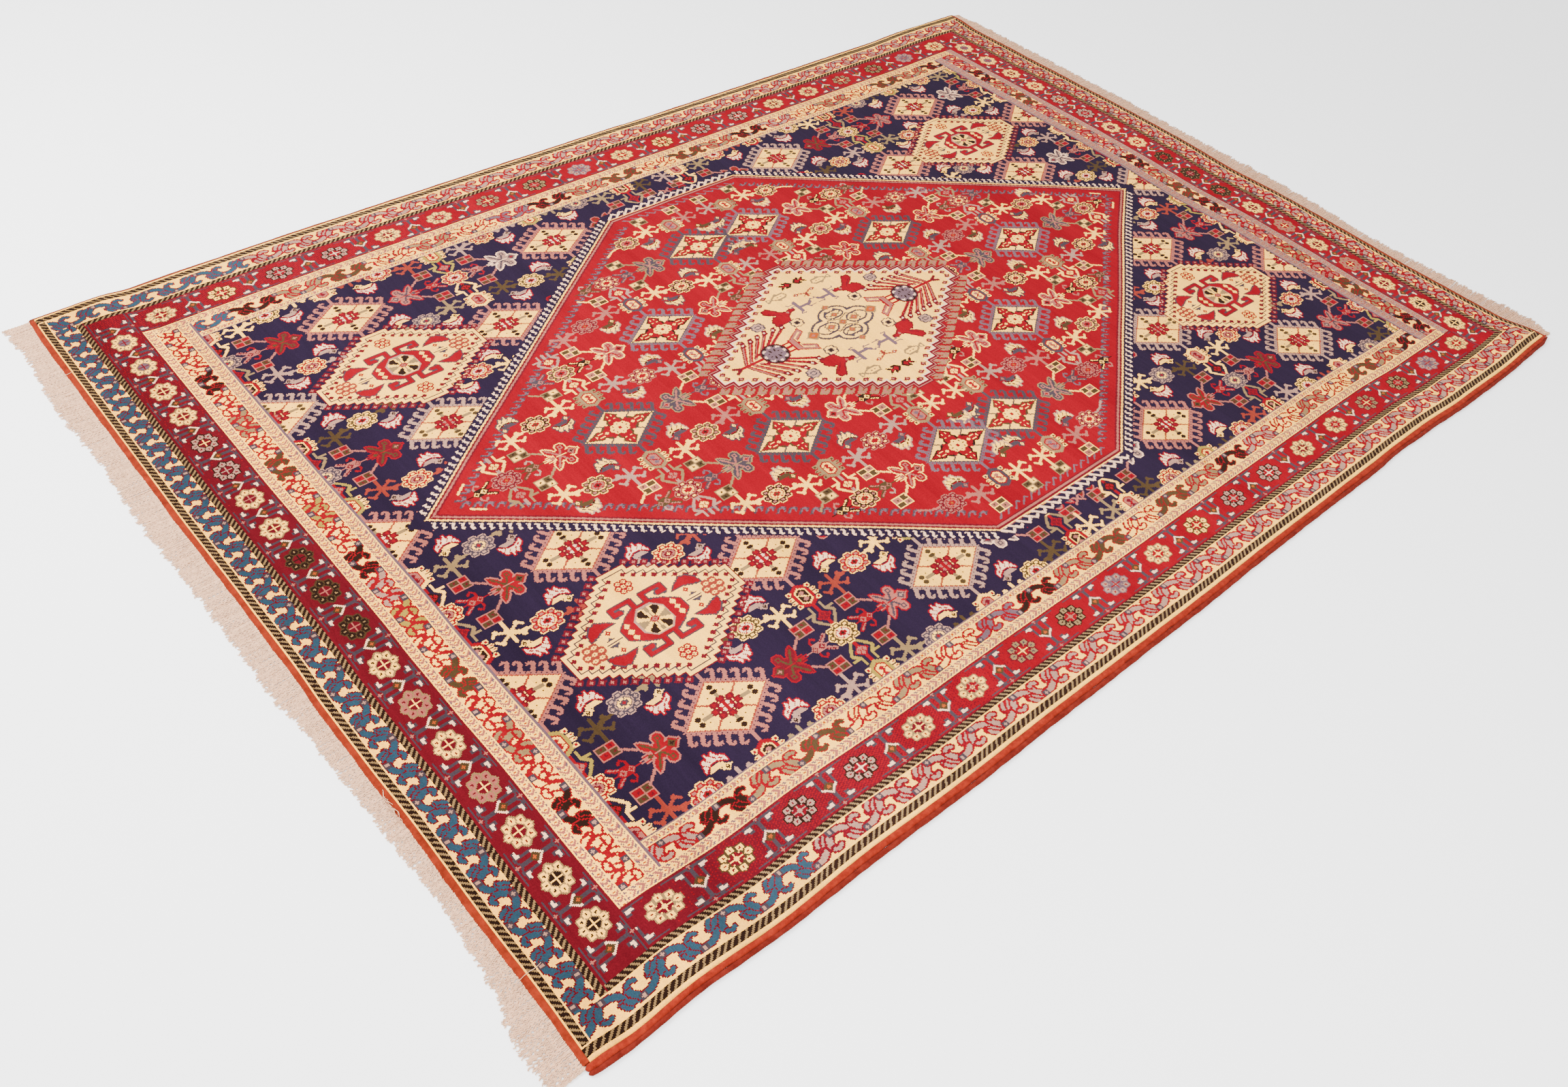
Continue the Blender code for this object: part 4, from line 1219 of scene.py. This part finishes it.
def make_foundation(cloth, material):
    """The woven ground under the pile: a thin closed sheet, its underside showing the knots."""
    u, v = (np.concatenate(([1.0], np.arange(BLOCK, knots - BLOCK + 1, BLOCK), [knots - 1.0]))
            for knots in cloth.shape)
    plan = plan_of(u, v)
    quads, ring, face_blocks, under_u, under_v = sheet_faces(u, v)
    turned = (0, 3, 2, 1)       # the faces look down
    below = np.concatenate((plan, np.zeros(plan.shape[:-1] + (1,))), -1).reshape(-1, 3)
    above = below[ring] + (0, 0, FOUNDATION_TOP)
    high = len(below) + np.arange(len(ring))
    walls = np.stack((ring, high, np.roll(high, -1), np.roll(ring, -1)), -1)
    piece = new_object("foundation", np.concatenate((below, above)),
                       np.concatenate((quads[:, turned], walls)), [high[::-1]], material, smooth=False)
    rest = np.full(len(ring) * 5, 0.5)
    dress(piece, np.concatenate((face_blocks, np.zeros((len(ring) + 1, 2), int))),
          (under_u[:, turned], rest), (under_v[:, turned], rest), packed_blocks(cloth))
    return piece


# ---------------------------------------------------------------------------------------------
# Edges
# ---------------------------------------------------------------------------------------------
WRAP_PITCH = 3.6        # mm from one turn of the overcasting yarn to the next
CHECK_PITCH = 3.4       # and from one thread of the end bands to the next but one
BUNDLE = 4.4            # mm of the end to a bundle of warp ends
YARN_REST = 1.45        # height of a yarn that lies on the floor


def make_cord(name, table, middle, half_width, high, material, seed):
    """An overcast cord along a long side. Middle is its share of the way from the pile to the
    rim; its wide radius follows that width, and the wrapping yarn's turns stand out slantwise:
    r = 1 + 0.08 (|cos(pi along / pitch + a / 2)| - 1/2) round the cord. Both its ends are
    rounded off over 5 mm."""
    beside = table[0][1]
    first, last = eased(NEAR_END, 2, beside) + 0.5, eased(FAR_END, 2, beside) - 0.5
    along = np.arange(first, last, 1.2)
    pile, rim = eased(table, 1, along), eased(table, 2, along)
    width = np.abs(rim - pile)
    wander = 0.35 * np.sin(along / 47.0 + seed) + 0.25 * np.sin(along / 17.0 + 2 * seed)
    path = np.stack((along, lerp(pile, rim, middle) + wander,
                     np.full_like(along, high + 0.3) + 0.2 * np.sin(along / 29.0 + seed)), -1)[None]
    around = 16
    angle = np.arange(around) * 2 * np.pi / around
    loose = 1.0 + 0.05 * np.sin(along / 11.0 + seed) + 0.04 * np.sin(along / 5.3)
    turns = 1.0 + 0.08 * (np.abs(np.cos(np.pi * along[:, None] / WRAP_PITCH + angle / 2)) - 0.5)
    ends = np.sqrt(np.clip(np.minimum(along - along[0], along[-1] - along) / 5.0, 0.02, 1))[:, None]
    wide = (half_width * width * loose)[:, None] * turns * ends
    tall = high * turns * ends * 0.98
    return from_rings(name, round_rings(path, wide[None], tall[None], around), material, folds=9)


def make_band(name, table, outwards, material):
    """The flat-woven band at an end: a low rounded strip whose threads stand out in small
    checks, z = profile + 0.34 cos(2 pi across / pitch + pi row). The profile has a share of the
    way from the pile to the rim, and a height, for each row."""
    corner = table[0][1]
    across = np.arange(eased(FAR_SIDE, 1, corner) + 0.5, eased(NEAR_SIDE, 1, corner) - 0.5, 1.7)
    pile, rim = eased(table, 1, across) - outwards * 0.8, eased(table, 2, across)
    wander = 0.5 * np.sin(across / 31.0) + 0.35 * np.sin(across / 13.0)
    profile = ((0.0, 0.4), (0.0, 6.4), (0.1, 7.0), (0.22, 7.2), (0.36, 7.1), (0.5, 7.0), (0.62, 6.6),
               (0.68, 5.6), (0.76, 6.0), (0.88, 5.2), (0.98, 3.2), (1.0, 1.6), (0.96, 0.3))
    rings = []
    for k, (share, height) in enumerate(profile):
        bump = 0.34 * np.cos(2 * np.pi * across / CHECK_PITCH + np.pi * k) if 1 <= k <= 11 else 0.0
        rings.append(np.stack((lerp(pile, rim + wander * share, share), across,
                               height + bump + 0.15 * np.sin(across / 7.0 + k)), -1))
    rings = np.stack(rings, 1)[None]
    if outwards > 0:
        rings = rings[:, :, ::-1]
    return from_rings(name, rings, material, folds=8)


def make_fringe(name, table, tips, outwards, pitch, material, seed, crimp, splay):
    """The warp ends: single plied yarns in bundles that are crimped together, as they left the
    weave. A yarn's place at share t of its length l is root + outwards (l t - 3), swung sideways
    by its sweep t^1.5 and crimped by c sin(2 pi l t / wave + phase); it sinks to the floor."""
    random = np.random.default_rng(seed)
    corner = table[0][1]
    first, last = eased(FAR_SIDE, 1, corner) - 4, eased(NEAR_SIDE, 1, corner) + 4
    count = int((last - first) / pitch)
    across = first + (np.arange(count) + random.uniform(size=count)) * pitch
    root = eased(table, 2, across)
    reach = np.abs(eased(tips, 1, across) - root)
    uneven = 1 + 0.06 * np.sin(across / 23.0 + seed) * np.sin(across / 7.0)
    length = reach * random.uniform(0.84, 1.06, count) * uneven
    bundle = np.floor((across - first) / BUNDLE).astype(int)
    each = random.uniform(size=(4, bundle.max() + 1))[:, bundle]
    pull = 0.1 * (first + (bundle + 0.5) * BUNDLE - across)
    sweep = (splay * (np.sin(across / 61.0) * 0.6 + np.sin(across / 23.0 + 1.0) * 0.4) + 2.0 * (each[0] - 0.5)
             + random.normal(0, 0.5, count))
    t = np.linspace(0, 1, 24)[None, :]
    phase = 6.28 * each[1][:, None] + random.normal(0, 0.5, (count, 1))
    wave = 6.5 + 3.0 * each[2][:, None]
    size = crimp * (0.6 + 0.7 * each[3][:, None])
    drift = random.normal(0, 0.6, (count, 1)) * np.sin(np.pi * t * random.uniform(0.8, 2.2, (count, 1)))
    run = length[:, None] * t
    place_along = root[:, None] + outwards * (run - 3.0)
    place_across = (across[:, None] + (sweep + pull)[:, None] * t ** 1.5
                    + size * np.sin(2 * np.pi * run / wave + phase) * np.minimum(1, 4 * t) + drift)
    layer = random.uniform(0.0, 1.0, (count, 1))
    height = (0.75 + layer * 2.0 + (2.2 - 1.2 * layer) * (1 - t) ** 2
              + 0.4 * np.sin(2 * np.pi * run / wave + phase + 1.2))
    height = np.maximum(height * (1 - 0.25 * t), YARN_REST)
    paths = np.stack((place_along, place_across, height), -1)
    plies = 1 + 0.12 * np.sin(run / 1.1)
    thick = random.uniform(1.05, 1.4, (count, 1)) * np.where(t > 0.97, 0.55, 1.0) * plies
    return from_rings(name, round_rings(paths, thick[..., None], thick[..., None], 3), material)


def make_threads(name, material):
    """Two warp threads lying back over the near band, and a small tuft caught on it."""
    random = np.random.default_rng(5)
    t = np.linspace(0, 1, 15)[:, None]
    paths = []
    for start, end in (((8, 209, 8.2), (-26, 205, 2.0)), ((46, 1905, 11.2), (-10, 1909, 2.2))):
        line = lerp(np.array(start, float), np.array(end, float), t)
        line[:, 1] += 1.2 * np.sin(t[:, 0] * 9)
        # over the band and up onto the pile
        line[:, 2] = np.interp(line[:, 0], (-30, -8, -2, 4, 16, 24, 60),
                               (1.5, 3.0, 6.4, 8.2, 8.6, 11.0, 11.2))
        paths.append(line)
    for k in range(16):
        across = random.uniform(1520, 1566)
        along = 6 + random.uniform(-3, 3) + 2.4 * np.sin(t[:, 0] * 5 + k)
        paths.append(np.stack((along, across + 22 * t[:, 0] * random.choice((-1, 1)),
                               8.0 + 0.8 * np.sin(t[:, 0] * 4 + k)), -1))
    return from_rings(name, round_rings(np.array(paths), 0.5, 0.5, 3), material)


# ---------------------------------------------------------------------------------------------
# The rug
# ---------------------------------------------------------------------------------------------
cloth = weave()
pile_wool = pile_material()
back_wool = back_material()
bright_wool = yarn_material("overcast_wool_bright", ("#64180C", "#781F11", "#882816"), 0.02, 90.0)
dark_wool = yarn_material("overcast_wool_dark", ("#4C130D", "#5C1911", "#6A2016"), 0.02, 90.0)
faded_wool = yarn_material("overcast_wool_faded", ("#562316", "#672C1C", "#753322"), 0.02, 90.0)
band_wool = yarn_material("flatwoven_wool", ("#5E1B0C", "#702210", "#802814"), 0.02, 70.0)
warp_cotton = yarn_material("cotton_warp", ("#B58D70", "#CCA180", "#DFB08C"), 0.02, 160.0)

strips = make_pile(cloth, pile_wool)
foundation = make_foundation(cloth, back_wool)
near_inner = make_cord("selvedge_near_inner", NEAR_SIDE, 0.27, 0.31, 4.75, bright_wool, 0.4)
near_outer = make_cord("selvedge_near_outer", NEAR_SIDE, 0.77, 0.235, 3.75, dark_wool, 2.1)
far_cord = make_cord("selvedge_far", FAR_SIDE, 0.46, 0.52, 3.5, faded_wool, 4.0)
band_near = make_band("band_near", NEAR_END, -1, band_wool)
band_far = make_band("band_far", FAR_END, 1, band_wool)
fringe_near = make_fringe("fringe_yarns_near", NEAR_END, NEAR_TIPS, -1, 1.55, warp_cotton, 11, 1.3, 3.0)
fringe_far = make_fringe("fringe_yarns_far", FAR_END, FAR_TIPS, 1, 1.8, warp_cotton, 12, 1.4, 6.0)
threads = make_threads("stray_threads", warp_cotton)

for piece, slot, nodes in (
    *((strip, "pile", ("rug_body",)) for strip in strips),
    (foundation, "pile", ("rug_body",)),
    (near_inner, "selvedge", ("selvedge_near_side",)), (near_outer, "selvedge", ("selvedge_near_side",)),
    (far_cord, "selvedge", ("selvedge_far_side",)),
    (band_near, "end_band", ("end_band_near",)), (band_far, "end_band", ("end_band_far",)),
    (fringe_near, "fringe", ("fringe_near",)), (fringe_far, "fringe", ("fringe_far",)),
    (threads, "fringe", ()),
):
    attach(piece, "root")
    if nodes:
        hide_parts(*nodes)

# ---------------------------------------------------------------------------------------------
# The camera, the floor and the light
# ---------------------------------------------------------------------------------------------
def stand(thing, side, up, back, place):
    """Put a camera or a lamp at its place, its own axes turned that way."""
    thing.matrix_world = Matrix((*zip(side, up, back, place), (0, 0, 0, 1)))
    bpy.context.scene.collection.objects.link(thing)


# a standing person's view over the corner of the near end and the near long side
azimuth, elevation, roll = (math.radians(angle) for angle in (-46.04, 46.39, 7.09))
back = np.array((math.sin(azimuth) * math.cos(elevation), -math.cos(azimuth) * math.cos(elevation),
                 math.sin(elevation)))
level = np.array((math.cos(azimuth), math.sin(azimuth), 0.0))
upright = np.cross(back, level)
lens = bpy.data.cameras.new("camera")
lens.lens, lens.sensor_width, lens.clip_end = 29.54, 36.0, 50.0
camera = bpy.data.objects.new("camera", lens)
stand(camera, level * math.cos(roll) + upright * math.sin(roll),
      -level * math.sin(roll) + upright * math.cos(roll), back, (-1.8251, -1.6506, 1.8442))
bpy.context.scene.camera = camera

floor_paint, _, floor_shader = new_material("studio_floor", 0.9)
floor_shader.inputs["Base Color"].default_value = srgb("#FFFFFF")
floor_shader.inputs["Specular IOR Level"].default_value = 0.0
floor_mesh = bpy.data.meshes.new("studio_floor")
floor_mesh.from_pydata([(30 * x, 30 * y, 0) for x, y in ((-1, -1), (1, -1), (1, 1), (-1, 1))], [],
                       [(0, 1, 2, 3)])
floor_mesh.materials.append(floor_paint)
floor = bpy.data.objects.new("studio_floor", floor_mesh)
bpy.context.scene.collection.objects.link(floor)

world = bpy.data.worlds.new("studio")
world.use_nodes = True
sky = world.node_tree.nodes["Background"]
sky.inputs["Color"].default_value = (1.0, 1.0, 1.0, 1.0)
sky.inputs["Strength"].default_value = 1.8
bpy.context.scene.world = world
for name, place, size, power in (("key", (-2.2, 1.6, 2.9), 2.4, 315.0),
                                 ("fill", (-1.6, -2.4, 2.8), 2.4, 180.0)):
    lamp = bpy.data.lights.new(name, "AREA")
    lamp.size, lamp.energy, lamp.shape = size, power, "SQUARE"
    light = bpy.data.objects.new(name, lamp)
    facing = -np.array(place) / np.linalg.norm(place)       # at the middle of the rug
    side = np.cross(facing, (0, 0, 1.0))
    side /= np.linalg.norm(side)
    stand(light, side, np.cross(side, facing), -facing, place)
